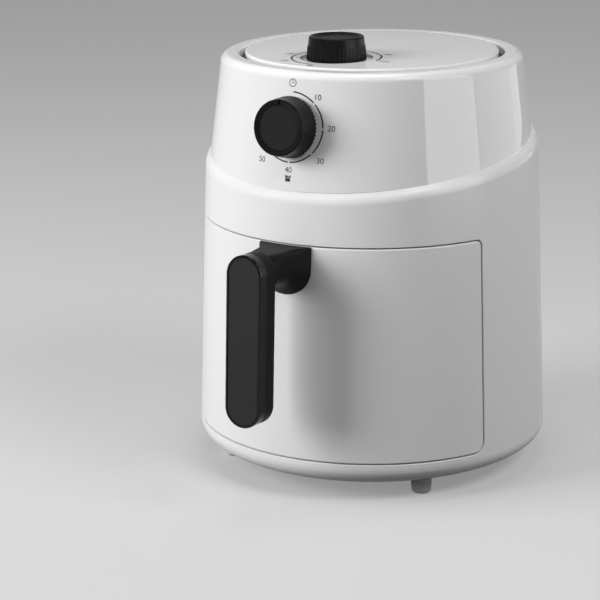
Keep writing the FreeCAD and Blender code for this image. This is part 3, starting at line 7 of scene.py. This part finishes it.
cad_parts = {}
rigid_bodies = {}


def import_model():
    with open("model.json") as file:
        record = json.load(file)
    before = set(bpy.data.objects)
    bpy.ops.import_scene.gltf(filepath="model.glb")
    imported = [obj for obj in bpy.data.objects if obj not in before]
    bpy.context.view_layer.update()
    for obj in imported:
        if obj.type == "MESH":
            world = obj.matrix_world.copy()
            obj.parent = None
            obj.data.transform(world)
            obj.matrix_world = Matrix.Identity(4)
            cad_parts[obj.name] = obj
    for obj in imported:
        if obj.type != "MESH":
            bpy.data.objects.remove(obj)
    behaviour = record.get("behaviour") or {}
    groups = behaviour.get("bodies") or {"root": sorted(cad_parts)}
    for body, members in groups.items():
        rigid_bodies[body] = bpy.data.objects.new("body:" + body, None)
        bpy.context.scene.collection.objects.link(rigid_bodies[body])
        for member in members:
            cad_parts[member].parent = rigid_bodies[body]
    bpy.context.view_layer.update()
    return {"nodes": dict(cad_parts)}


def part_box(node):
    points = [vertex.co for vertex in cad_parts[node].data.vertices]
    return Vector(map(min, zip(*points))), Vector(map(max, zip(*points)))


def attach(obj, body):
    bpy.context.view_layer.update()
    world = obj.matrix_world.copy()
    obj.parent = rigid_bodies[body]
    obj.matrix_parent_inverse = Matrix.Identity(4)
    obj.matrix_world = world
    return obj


for stray in list(bpy.data.objects):
    bpy.data.objects.remove(stray)
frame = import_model()


# Base tray, rear vent and cord gland. Matt white polypropylene mouldings: a shallow dish that closes the
# shell from below with air slots and screw wells, a louvre pushed in from outside, and a collar snapped
# into the cord hole.
class Wire:
    """One socket of a node tree. Sums, products and comparisons of it add Math nodes."""

    def __init__(self, tree, socket):
        self.tree = tree
        self.socket = socket

    def node(self, kind, settings=None, inputs=None, output=0):
        """A new node: its settings first, then the values or links of its sockets."""
        made = self.tree.nodes.new(kind)
        for key, value in (settings or {}).items():
            setattr(made, key, value)
        for key, value in (inputs or {}).items():
            self.feed(made.inputs[key], value)
        return Wire(self.tree, made.outputs[output])

    def twin(self, output):
        """Another output of the same node."""
        return Wire(self.tree, self.socket.node.outputs[output])

    def feed(self, socket, value):
        """Sets a socket to a plain value or links it to a wire."""
        if isinstance(value, Wire):
            self.tree.links.new(value.socket, socket)
        else:
            socket.default_value = value

    def maths(self, operation, first, second=0.0):
        return self.node("ShaderNodeMath", {"operation": operation}, {0: first, 1: second})

    def __add__(self, other):
        return self.maths("ADD", self, other)

    def __sub__(self, other):
        return self.maths("SUBTRACT", self, other)

    def __rsub__(self, other):
        return self.maths("SUBTRACT", other, self)

    def __mul__(self, other):
        return self.maths("MULTIPLY", self, other)

    def __truediv__(self, other):
        return self.maths("DIVIDE", self, other)

    def __rtruediv__(self, other):
        return self.maths("DIVIDE", other, self)

    def __gt__(self, other):
        return self.maths("GREATER_THAN", self, other)

    __radd__ = __add__
    __rmul__ = __mul__


def finish(name):
    """A new material with its Principled shader and the piece's own coordinates."""
    material = bpy.data.materials.new(name)
    material.use_nodes = True
    tree = material.node_tree
    shader = tree.nodes["Principled BSDF"]
    place = Wire(tree, tree.nodes.new("ShaderNodeTexCoord").outputs["Object"])
    return material, shader, place


def grey(level, warm=0.0):
    """A grey of that level, with a little more red than blue where it is warm."""
    return (level * (1 + warm), level, level * (1 - warm), 1.0)


def clouds(place, scale, detail=2.0, rough=0.5):
    """Soft noise around its mean, over that many swells to the metre."""
    return place.node("ShaderNodeTexNoise", {}, {"Vector": place, "Scale": scale, "Detail": detail,
                                                 "Roughness": rough})


noise_mean = 0.5


def between(place, mask, low, high):
    """A colour that runs from low to high with the mask."""
    factor, low_colour, high_colour, mixed_colour = 0, 6, 7, 2
    return place.node("ShaderNodeMix", {"data_type": "RGBA"},
                      {factor: mask, low_colour: low, high_colour: high}, mixed_colour)


def raised(place, shader, height, depth):
    """A bump of that depth in metres on the shader's normal."""
    bump = place.node("ShaderNodeBump", {}, {"Strength": 1.0, "Distance": depth, "Height": height})
    place.feed(shader.inputs["Normal"], bump)


def moulded(name, level, rough, spread, grain, depth, warm=0.0, drift=0.02, shine=0.5):
    """Injection-moulded plastic: slow drifts of tone and gloss from the melt, and the tool's fine grain."""
    pore_share = 0.5
    material, shader, place = finish(name)
    flow = clouds(place, scale=16.0, detail=3.0)
    pores = clouds(place, scale=grain, rough=0.6)
    tone = between(place, flow, grey(level * (1 - drift), warm), grey(level * (1 + drift), warm))
    place.feed(shader.inputs["Base Color"], tone)
    gloss = rough + spread * (flow - noise_mean) + pore_share * spread * (pores - noise_mean)
    place.feed(shader.inputs["Roughness"], gloss)
    shader.inputs["Specular IOR Level"].default_value = shine
    raised(place, shader, pores, depth)
    return material


def dress(material, *names):
    """Gives CAD nodes their finish."""
    for name in names:
        frame["nodes"][name].material_slots[0].material = material


matt_white = moulded("matt_white", level=0.80, rough=0.42, spread=0.10, grain=2600.0, depth=0.00003,
                     shine=0.35)
dress(matt_white, "base_tray", "cord_gland", "rear_vent")

# Feet. Four short stubs of grey-white rubber with a flat sole, pressed from below into sockets
# in the rim of the base tray.
foot_rubber = moulded("foot_rubber", level=0.56, rough=0.62, spread=0.12, grain=3200.0, depth=0.00006)
dress(foot_rubber, "feet")


# Screws, shafts, nuts, clips, guard, rails, sensor and bell. Zinc-plated steel, headed, turned, pressed or
# bent from wire, with fine lines from the tool and a slightly cloudy plating; screwed, riveted or pressed
# in place.
def metal(name, level, rough, stretch, depth, warm=0.0):
    """Rolled or turned metal with fine lines along its working direction."""
    dull = 0.92 * level
    bright = 1.06 * level
    streak_share = 0.6
    cast_share = 0.4
    spread = 0.12
    material, shader, place = finish(name)
    lines = place.node("ShaderNodeMapping", {}, {"Vector": place, "Scale": stretch})
    streak = clouds(lines, scale=1.0, detail=3.0)
    cast = clouds(place, scale=40.0, detail=3.0)
    tone = between(place, streak_share * streak + cast_share * cast, grey(dull, warm), grey(bright, warm))
    place.feed(shader.inputs["Base Color"], tone)
    gloss = rough + spread * (streak - noise_mean) + spread * (cast - noise_mean)
    place.feed(shader.inputs["Roughness"], gloss)
    shader.inputs["Metallic"].default_value = 1.0
    raised(place, shader, streak, depth)
    return material


zinc = metal("zinc", level=0.52, rough=0.30, stretch=(300.0, 300.0, 5000.0), depth=0.00001)
dress(zinc, "base_screws", "motor_screws", "handle_screws", "fan_nuts", "motor_shaft", "timer_shaft",
      "thermostat_shaft", "element_clips", "element_guard", "drawer_rails", "thermostat_sensor", "timer_bell")

# Cooking chamber. Satin sheet steel, pressed or bent and spot-welded: the liner with its floor,
# the reflector dome, the exhaust duct and the small brackets.
rolled_sheet = metal("rolled_sheet", level=0.58, rough=0.34, stretch=(60.0, 60.0, 2600.0), depth=0.00001)
dress(rolled_sheet, "chamber_liner", "heat_reflector", "exhaust_duct", "motor_bracket", "switch_bracket",
      "pot_bracket")

# Heating element. A steel-sheathed rod bent to a double ring and hung from clips under the reflector;
# the sheath is dulled brown-grey by heat.
sheath = metal("sheath", level=0.20, rough=0.48, stretch=(900.0, 900.0, 900.0), depth=0.00002, warm=0.05)
dress(sheath, "heating_element")

# Fans and control cases. Pressed bright aluminium: two fans on one shaft, held by nuts,
# and the folded cases of the clockwork and the thermostat.
bright_sheet = metal("bright_sheet", level=0.74, rough=0.26, stretch=(1800.0, 240.0, 240.0), depth=0.00001)
dress(bright_sheet, "convection_fan", "cooling_fan", "timer_body", "thermostat_body")

# Motor. A drawn steel can with a dark grey stove paint, held on its strap over the reflector
# by two screws.
can_paint = moulded("can_paint", level=0.17, rough=0.38, spread=0.12, grain=1500.0, depth=0.00003)
dress(can_paint, "motor")

# Small insulating parts. Cream mouldings for the terminals, the fuse and the plunger, dark grey ones for
# the switch and for the sheet behind the drawer front; clipped or screwed to the metal around them.
cream = moulded("cream", level=0.60, rough=0.45, spread=0.12, grain=1800.0, depth=0.00003, warm=0.05)
dress(cream, "terminal_block", "thermal_fuse", "switch_plunger")
dark_grey = moulded("dark_grey", level=0.12, rough=0.45, spread=0.12, grain=1800.0, depth=0.00003)
dress(dark_grey, "drawer_switch", "drawer_backing")

# Lower shell and drawer front. A white moulded drum and the curved panel that closes its opening,
# both with the fine satin of a spark-eroded tool; the panel is screwed to the handle and the pot bracket.
satin_white = moulded("satin_white", level=0.815, rough=0.20, spread=0.06, grain=1900.0, depth=0.00002,
                      warm=0.006, drift=0.008, shine=0.40)
dress(satin_white, "lower_shell", "drawer_front")

# Upper housing. A glossy white moulded cone on the tilted seat, with a rounded rim and a well for the cover.
# The minutes are pad-printed in dark grey on its front around the timer shaft: arcs, figures,
# and the plain signs of a clock and a cup of sticks.
gloss_white = moulded("gloss_white", level=0.82, rough=0.06, spread=0.04, grain=700.0, depth=0.000005,
                      drift=0.006)
dress(gloss_white, "upper_housing")
print_grey = moulded("print_grey", level=0.03, rough=0.50, spread=0.10, grain=3000.0, depth=0.00001,
                     drift=0.10, shine=0.3)
film = 0.00004
film_foot = 0.2 * film
shoulder_z = 0.2302
upper_radius = 0.1130028
upper_taper = math.radians(7.25)
timer_z = 0.256
minute_step = math.radians(45)


def on_front(u, v, lift):
    """The point over the housing wall that far to the right of the timer axis and that far up."""
    z = timer_z + v * math.cos(upper_taper)
    radius = upper_radius - math.tan(upper_taper) * (z - shoulder_z) + lift
    return Vector((u, -math.sqrt(radius * radius - u * u), z))


def placed(name, data):
    """A new object in the scene."""
    item = bpy.data.objects.new(name, data)
    bpy.context.scene.collection.objects.link(item)
    return item


def plain_mesh(item):
    """The evaluated mesh of an object as plain data."""
    now = item.evaluated_get(bpy.context.evaluated_depsgraph_get())
    return bpy.data.meshes.new_from_object(now)


def grown(name, material, build, **sizes):
    """A mesh grown by Geometry Nodes from named sizes, made plain."""
    tree = bpy.data.node_groups.new(name, "GeometryNodeTree")
    tree.interface.new_socket("Geometry", in_out="OUTPUT", socket_type="NodeSocketGeometry")
    marks = {}
    for key, number in sizes.items():
        kind = "NodeSocketInt" if isinstance(number, int) else "NodeSocketFloat"
        marks[key] = tree.interface.new_socket(key, in_out="INPUT", socket_type=kind).identifier
    entry = tree.nodes.new("NodeGroupInput")
    shape = build(**{key: Wire(tree, entry.outputs[key]) for key in sizes})
    solid = shape.node("GeometryNodeRealizeInstances", {}, {"Geometry": shape})
    solid = solid.node("GeometryNodeSetMaterial", {}, {"Geometry": solid, "Material": material})
    solid.feed(tree.nodes.new("NodeGroupOutput").inputs[0], solid)
    item = placed(name, bpy.data.meshes.new(name))
    grower = item.modifiers.new(name, "NODES")
    grower.node_group = tree
    for key, number in sizes.items():
        grower[marks[key]] = number
    mesh = plain_mesh(item)
    item.modifiers.remove(grower)
    bpy.data.objects.remove(item)
    return mesh


def scale_arcs(arcs, facets, radius, width, start, step, gap):
    """Equal flat arcs around a dial, clockwise from the top, with a gap between neighbours."""
    strip = arcs.node("GeometryNodeMeshGrid", {}, {"Size X": 1.0, "Size Y": 1.0, "Vertices X": facets,
                                                   "Vertices Y": 2})
    spot = strip.node("GeometryNodeInputPosition")
    along = strip.node("ShaderNodeSeparateXYZ", {}, {0: spot})
    turn = start + gap / 2 + (along + 0.5) * (step - gap)
    reach = radius + along.twin(1) * width
    bent = strip.node("ShaderNodeCombineXYZ", {}, {0: reach * turn.maths("SINE", turn),
                                                   1: reach * turn.maths("COSINE", turn)})
    arc = strip.node("GeometryNodeSetPosition", {}, {"Geometry": strip, "Position": bent})
    seats = strip.node("GeometryNodeMeshLine", {}, {"Count": arcs, "Offset": (0.0, 0.0, 0.0)})
    order = strip.node("GeometryNodeInputIndex")
    swing = strip.node("ShaderNodeCombineXYZ", {}, {2: 0 - order * step})
    return strip.node("GeometryNodeInstanceOnPoints", {},
                      {"Points": seats, "Instance": arc, "Rotation": swing})


def figures(text, height, u, v):
    """A printed number, centred on a spot."""
    figure_share = 0.70
    words = bpy.data.curves.new("figures", "FONT")
    words.body = text
    words.size = height / figure_share
    words.resolution_u = 5
    item = placed("figures", words)
    mesh = plain_mesh(item)
    bpy.data.objects.remove(item)
    across = [corner.co.x for corner in mesh.vertices]
    up = [corner.co.y for corner in mesh.vertices]
    middle_u = (min(across) + max(across)) / 2
    middle_v = (min(up) + max(up)) / 2
    mesh.transform(Matrix.Translation((u - middle_u, v - middle_v, 0.0)))
    return mesh


def as_mesh(name, shape):
    """Mesh data from a finished bmesh."""
    mesh = bpy.data.meshes.new(name)
    shape.to_mesh(mesh)
    shape.free()
    return mesh


def ribbon(points, width, closed=False):
    """A flat line of that width through the points."""
    shape = bmesh.new()
    spots = [Vector((u, v, 0.0)) for u, v in points]
    rows = []
    for index, spot in enumerate(spots):
        before = spots[index - 1] if index or closed else spot
        after = spots[(index + 1) % len(spots)] if index + 1 < len(spots) or closed else spot
        side = (after - before).normalized().cross(Vector((0.0, 0.0, 1.0))) * width / 2
        rows.append((shape.verts.new(spot + side), shape.verts.new(spot - side)))
    pairs = list(zip(rows, rows[1:] + rows[:1])) if closed else list(zip(rows, rows[1:]))
    for (right, left), (next_right, next_left) in pairs:
        shape.faces.new((right, next_right, next_left, left))
    return as_mesh("ribbon", shape)


def laid(name, material, meshes, place, thick, body):
    """One piece from flat marks, laid on a surface with a thickness and carried by a body."""
    same_spot = 0.000002
    shape = bmesh.new()
    for mesh in meshes:
        shape.from_mesh(mesh)
    bmesh.ops.remove_doubles(shape, verts=shape.verts[:], dist=same_spot)
    risen = bmesh.ops.extrude_face_region(shape, geom=shape.faces[:], use_keep_orig=True)
    upper = {part for part in risen["geom"] if isinstance(part, bmesh.types.BMVert)}
    for corner in shape.verts:
        corner.co = place(corner.co.x, corner.co.y, thick if corner in upper else film_foot)
    bmesh.ops.recalc_face_normals(shape, faces=shape.faces[:])
    # The extrusion lists its faces in a new order each run, so they are put in order of their corners.
    shape.verts.index_update()
    ordered = sorted(shape.faces, key=lambda face: [corner.index for corner in face.verts])
    for number, face in enumerate(ordered):
        face.index = number
    shape.faces.sort()
    mesh = as_mesh(name, shape)
    mesh.materials.append(material)
    item = placed(name, mesh)
    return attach(item, body)


minute_arcs = grown("timer_arcs", print_grey, scale_arcs, arcs=5, facets=19, radius=0.0233, width=0.00095,
                    start=0.0, step=minute_step, gap=math.radians(3.6))
laid("timer_arcs", print_grey, [minute_arcs], on_front, film, "housing")
minute_height = 0.0038
minute_spots = {"10": (0.0190, 0.0208), "20": (0.0290, 0.0008), "30": (0.0228, -0.0208),
                "40": (0.0, -0.0284), "50": (-0.0220, -0.0236)}
minutes = [figures(text, minute_height, u, v) for text, (u, v) in minute_spots.items()]

sign_line = 0.0005
clock_v = 0.0292
clock_radius = 0.0025
clock_points = 24
minute_hand = 0.0016
hour_hand = 0.0014
clock_turns = [math.radians(360 / clock_points * point) for point in range(clock_points)]
clock_round = [(clock_radius * math.sin(turn), clock_v + clock_radius * math.cos(turn))
               for turn in clock_turns]
minutes.append(ribbon(clock_round, sign_line, closed=True))
minutes.append(ribbon([(0.0, clock_v + minute_hand), (0.0, clock_v), (hour_hand, clock_v)], sign_line))

cup_v = -0.0352
cup_half_width = 0.0019
cup_height = 0.0021
stick_count = 5
stick_width = 0.00065
stick_first = -0.0018
stick_step = 0.0009
stick_foot = 0.0013
stick_head = 0.0032
stick_stagger = 0.0005
foot_spread = 0.85
head_spread = 1.2
minutes.append(ribbon([(-cup_half_width, cup_v), (cup_half_width, cup_v)], cup_height))
for stick in range(stick_count):
    across = stick_first + stick_step * stick
    foot = (foot_spread * across, cup_v + stick_foot)
    head = (head_spread * across, cup_v + stick_head - stick_stagger * (stick % 2))
    minutes.append(ribbon([foot, head], stick_width))
laid("timer_figures", print_grey, minutes, on_front, film, "housing")

# Top cover. A glossy white moulded lid in the well, very slightly domed, with a sunk flat for the
# temperature knob. A flat black ring on the floor of the groove around it is painted shade that darkens the
# groove;
# a broken ring and the temperatures are printed around the flat.
dress(gloss_white, "top_cover")
cover_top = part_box("top_cover")[1].z
cover_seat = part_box("top_cover")[0].z
cover_radius = 0.0873
cover_rise = 0.0012
dome_radius = (cover_radius ** 2 + cover_rise ** 2) / (2 * cover_rise)
dial_y = -0.049
# Sizes of the painted shade ring in the groove around the cover.
groove_shade_radius = 0.0906
groove_shade_width = 0.0040
groove_shade_height = 0.0015
heat_arcs = 6
heat_start = math.radians(180)
heat_step = math.radians(45)
degree_first = 80
degree_step = 20
degree_height = 0.0034
degree_across = 0.0372
degree_back = 0.0352


def on_cover(u, v, lift):
    """The point over the lid that far to the right of the knob axis and that far behind it."""
    y = dial_y + v
    return Vector((u, y, cover_top - (u * u + y * y) / (2 * dome_radius) + lift))


def on_seat(u, v, lift):
    """The point over the bottom of the groove."""
    return Vector((u, v, cover_seat + lift))


# Painted shade: a flat black ring on the groove floor stands in for the shadow in the groove, not a real
# seal.
groove_shade_black = moulded("groove_shade_black", level=0.03, rough=0.6, spread=0.10, grain=2400.0, depth=0.00003)
groove_shade_mesh = grown("painted_groove_shade", groove_shade_black, scale_arcs, arcs=1, facets=241, radius=groove_shade_radius,
                  width=groove_shade_width, start=0.0, step=math.radians(360), gap=0.0)
laid("painted_groove_shade", groove_shade_black, [groove_shade_mesh], on_seat, groove_shade_height, "housing")
heat_ring = grown("temperature_ring", print_grey, scale_arcs, arcs=heat_arcs, facets=31, radius=0.0306,
                  width=0.0013, start=heat_start, step=heat_step, gap=math.radians(2.2))
laid("temperature_ring", print_grey, [heat_ring], on_cover, film, "housing")
degrees = []
for index in range(heat_arcs + 1):
    turn = heat_start + heat_step * index
    degrees.append(figures(str(degree_first + degree_step * index), degree_height,
                           degree_across * math.sin(turn), degree_back * math.cos(turn)))
laid("temperature_figures", print_grey, degrees, on_cover, film, "housing")

# Knobs. Charcoal mouldings with a ribbed skirt and a dished face with a pointer notch, pushed on
# their shafts, and a finely grained disc pressed into each face. Round ribs run up the leaning skirt
# between the grooves.
knob_black = moulded("knob_black", level=0.008, rough=0.26, spread=0.10, grain=2200.0, depth=0.00002,
                     shine=0.12)
dress(knob_black, "timer_knob", "temperature_knob")
knob_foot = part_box("temperature_knob")[0].z
knob_lift = 0.0008


def skirt_ribs(ribs, sides, radius, slope, low, length, thick, sink):
    """Fine round ribs around a knob, up its leaning skirt."""
    rib = ribs.node("GeometryNodeMeshCylinder", {}, {"Vertices": sides, "Radius": thick, "Depth": length})
    order = rib.node("GeometryNodeInputIndex")
    turn = (order + 0.5) * math.tau / ribs
    middle = low + length / 2
    reach = radius - sink - slope * middle
    spot = rib.node("ShaderNodeCombineXYZ", {}, {0: reach * turn.maths("COSINE", turn),
                                                 1: reach * turn.maths("SINE", turn), 2: middle})
    seats = rib.node("GeometryNodeMeshLine", {}, {"Count": ribs, "Offset": (0.0, 0.0, 0.0)})
    ring = rib.node("GeometryNodeSetPosition", {}, {"Geometry": seats, "Position": spot})
    swing = rib.node("ShaderNodeCombineXYZ", {}, {1: 0 - slope.maths("ARCTANGENT", slope), 2: turn})
    return rib.node("GeometryNodeInstanceOnPoints", {}, {"Points": ring, "Instance": rib, "Rotation": swing})


def ribbed(name, place, body):
    """The ribs of one knob, put in their place and carried by its body."""
    mesh = grown(name, knob_black, skirt_ribs, ribs=50, sides=10, radius=0.0204, slope=0.11, low=0.0003,
                 length=0.0092, thick=0.00048, sink=0.00022)
    mesh.transform(place)
    item = placed(name, mesh)
    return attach(item, body)


ribbed("temperature_ribs", Matrix.Translation((0.0, dial_y, knob_foot)), "temperature_dial")
timer_seat = (Matrix.Translation(on_front(0.0, 0.0, 0.0))
              @ Matrix.Rotation(math.radians(90) - upper_taper, 4, "X")
              @ Matrix.Translation((0.0, 0.0, knob_lift)))
ribbed("timer_ribs", timer_seat, "timer_dial")
disc_black = moulded("disc_black", level=0.020, rough=0.40, spread=0.10, grain=2600.0, depth=0.00002,
                     shine=0.10)
dress(disc_black, "timer_knob_cap", "temperature_knob_cap")

# Handle. A matt black grip and arm in one moulding, a gloss black frame clipped on its front
# and a dark satin plate let into the frame; two screws hold it from behind the drawer front.
grip_black = moulded("grip_black", level=0.006, rough=0.46, spread=0.12, grain=2200.0, depth=0.00004,
                     shine=0.09)
dress(grip_black, "handle_body")
gloss_black = moulded("gloss_black", level=0.001, rough=0.05, spread=0.03, grain=500.0, depth=0.000002,
                      shine=0.3)
dress(gloss_black, "handle_bezel")
plate_black = moulded("plate_black", level=0.016, rough=0.24, spread=0.08, grain=1600.0, depth=0.00001,
                      shine=0.3)
dress(plate_black, "handle_plate")

# Fry pot and crisper plate. Drawn and punched steel sheet with a sprayed dark non-stick coating
# that shows fine pale specks; the pot hangs on its bracket and the plate rests in the pot.
coating, coating_shader, coating_place = finish("coating")
coat_dark = grey(0.022, warm=0.02)
speck_pale = grey(0.12, warm=0.02)
speck_level = 0.70
coat_rough = 0.34
coat_spread = 0.16
coat_depth = 0.00004
specks = clouds(coating_place, scale=1100.0, detail=1.0) > speck_level
sprayed = clouds(coating_place, scale=420.0, detail=3.0)
coat_tone = between(coating_place, specks, coat_dark, speck_pale)
coating_place.feed(coating_shader.inputs["Base Color"], coat_tone)
coating_place.feed(coating_shader.inputs["Roughness"], coat_rough + coat_spread * sprayed)
raised(coating_place, coating_shader, sprayed, coat_depth)
dress(coating, "fry_pot", "crisper_plate")

# Bumpers. Black silicone caps pulled over the tabs of the crisper plate, which keep it centred
# in the pot.
silicone = moulded("silicone", level=0.04, rough=0.6, spread=0.12, grain=1800.0, depth=0.00003)
dress(silicone, "crisper_bumpers")

# Floor. A wide sheet of plain pale paper under the object. It keeps the object's shadow, and it sends
# less light up to the object than it shows to the camera and in reflections.
floor_radius = 9.0
floor_edges = 96
paper_low = grey(0.40)
paper_high = grey(0.42)
paper_bounce = grey(0.07)
paper_glow = grey(0.25)
no_glow = grey(0.0)
shape = bmesh.new()
bmesh.ops.create_circle(shape, cap_ends=True, segments=floor_edges, radius=floor_radius)
floor_mesh = as_mesh("floor", shape)
floor = placed("floor", floor_mesh)
paper, paper_shader, paper_place = finish("paper")


def shown(rays):
    """One for a ray from the camera, straight or by reflection or glass, and else nought."""
    bent = rays.twin("Is Glossy Ray") + rays.twin("Is Transmission Ray")
    return rays.node("ShaderNodeMath", {"operation": "ADD", "use_clamp": True}, {0: rays, 1: bent})


paper_seen = shown(paper_place.node("ShaderNodeLightPath"))
paper_tooth = clouds(paper_place, scale=3.0)
paper_pale = between(paper_place, paper_tooth, paper_low, paper_high)
paper_tone = between(paper_place, paper_seen, paper_bounce, paper_pale)
paper_place.feed(paper_shader.inputs["Base Color"], paper_tone)
paper_shine = between(paper_place, paper_seen, no_glow, paper_glow)
paper_place.feed(paper_shader.inputs["Emission Color"], paper_shine)
paper_shader.inputs["Emission Strength"].default_value = 1.0
paper_shader.inputs["Roughness"].default_value = 0.9
paper_shader.inputs["Specular IOR Level"].default_value = 0.1
floor_mesh.materials.append(paper)


# Lamps. Soft boxes around the object: broad ones from the front left and the upper right that only light it,
# cards at the right that are only mirrored in the glossy white, and two that do both.
def softbox(name, turn, far, rise, width, height, power, lean=0.0, lights=True, mirrored=True):
    """A soft lamp at that turn round the object from its front, facing the axis or leaning down to it.
    It may only light the object, or only be mirrored in it."""
    data = bpy.data.lights.new(name, "AREA")
    data.shape = "RECTANGLE"
    data.size = width
    data.size_y = height
    data.energy = power
    lamp = placed(name, data)
    lamp.matrix_world = (Matrix.Rotation(math.radians(turn), 4, "Z") @ Matrix.Translation((0.0, -far, rise))
                         @ Matrix.Rotation(math.radians(90.0 - lean), 4, "X"))
    lamp.visible_camera = False
    lamp.visible_diffuse = lights
    lamp.visible_glossy = mirrored


softbox("key", turn=-40.0, far=1.9, rise=0.72, width=1.0, height=0.8, power=24.8, lean=15.0, mirrored=False)
softbox("key_left", turn=-55.0, far=1.9, rise=0.90, width=1.0, height=0.8, power=4.7, lean=20.0,
        mirrored=False)
softbox("key_high", turn=-40.0, far=1.7, rise=1.15, width=1.0, height=0.7, power=11.2, lean=30.0,
        mirrored=False)
softbox("front_high", turn=60.0, far=1.1, rise=1.30, width=0.50, height=0.20, power=3.2, lean=45.0,
        lights=False)
softbox("side_card", turn=87.0, far=1.5, rise=0.66, width=1.13, height=1.3, power=14.8, lights=False)
softbox("side_high", turn=80.0, far=1.3, rise=1.35, width=0.8, height=0.6, power=15.2, lean=42.0,
        mirrored=False)
softbox("back_right", turn=137.0, far=1.8, rise=0.20, width=1.9, height=0.32, power=2.5)
softbox("overhead", turn=0.0, far=0.0, rise=1.75, width=0.7, height=0.7, power=5.2, lean=90.0)

# Surroundings and camera. A dim even grey all round that shows paler to the camera than it lights,
# and the camera at the photograph's angle.
sky_light = grey(0.10)
sky_pale = grey(0.30)
world = bpy.data.worlds.new("studio")
bpy.context.scene.world = world
world.use_nodes = True
sky = Wire(world.node_tree, world.node_tree.nodes.new("ShaderNodeLightPath").outputs["Is Camera Ray"])
sky_tone = between(sky, shown(sky), sky_light, sky_pale)
sky.feed(world.node_tree.nodes["Background"].inputs["Color"], sky_tone)
bpy.context.scene.view_settings.view_transform = "Standard"

camera_spot = (0.7015, -1.2501, 0.5148)
camera_turn = math.radians(31.38)
camera_tilt = math.radians(74.25)
camera_roll = math.radians(-0.59)
camera_data = bpy.data.cameras.new("camera")
camera_data.sensor_width = 36.0
camera_data.lens = 123.44
camera = placed("camera", camera_data)
camera.matrix_world = (Matrix.Translation(camera_spot) @ Matrix.Rotation(camera_turn, 4, "Z")
                       @ Matrix.Rotation(camera_tilt, 4, "X") @ Matrix.Rotation(camera_roll, 4, "Z"))
bpy.context.scene.camera = camera
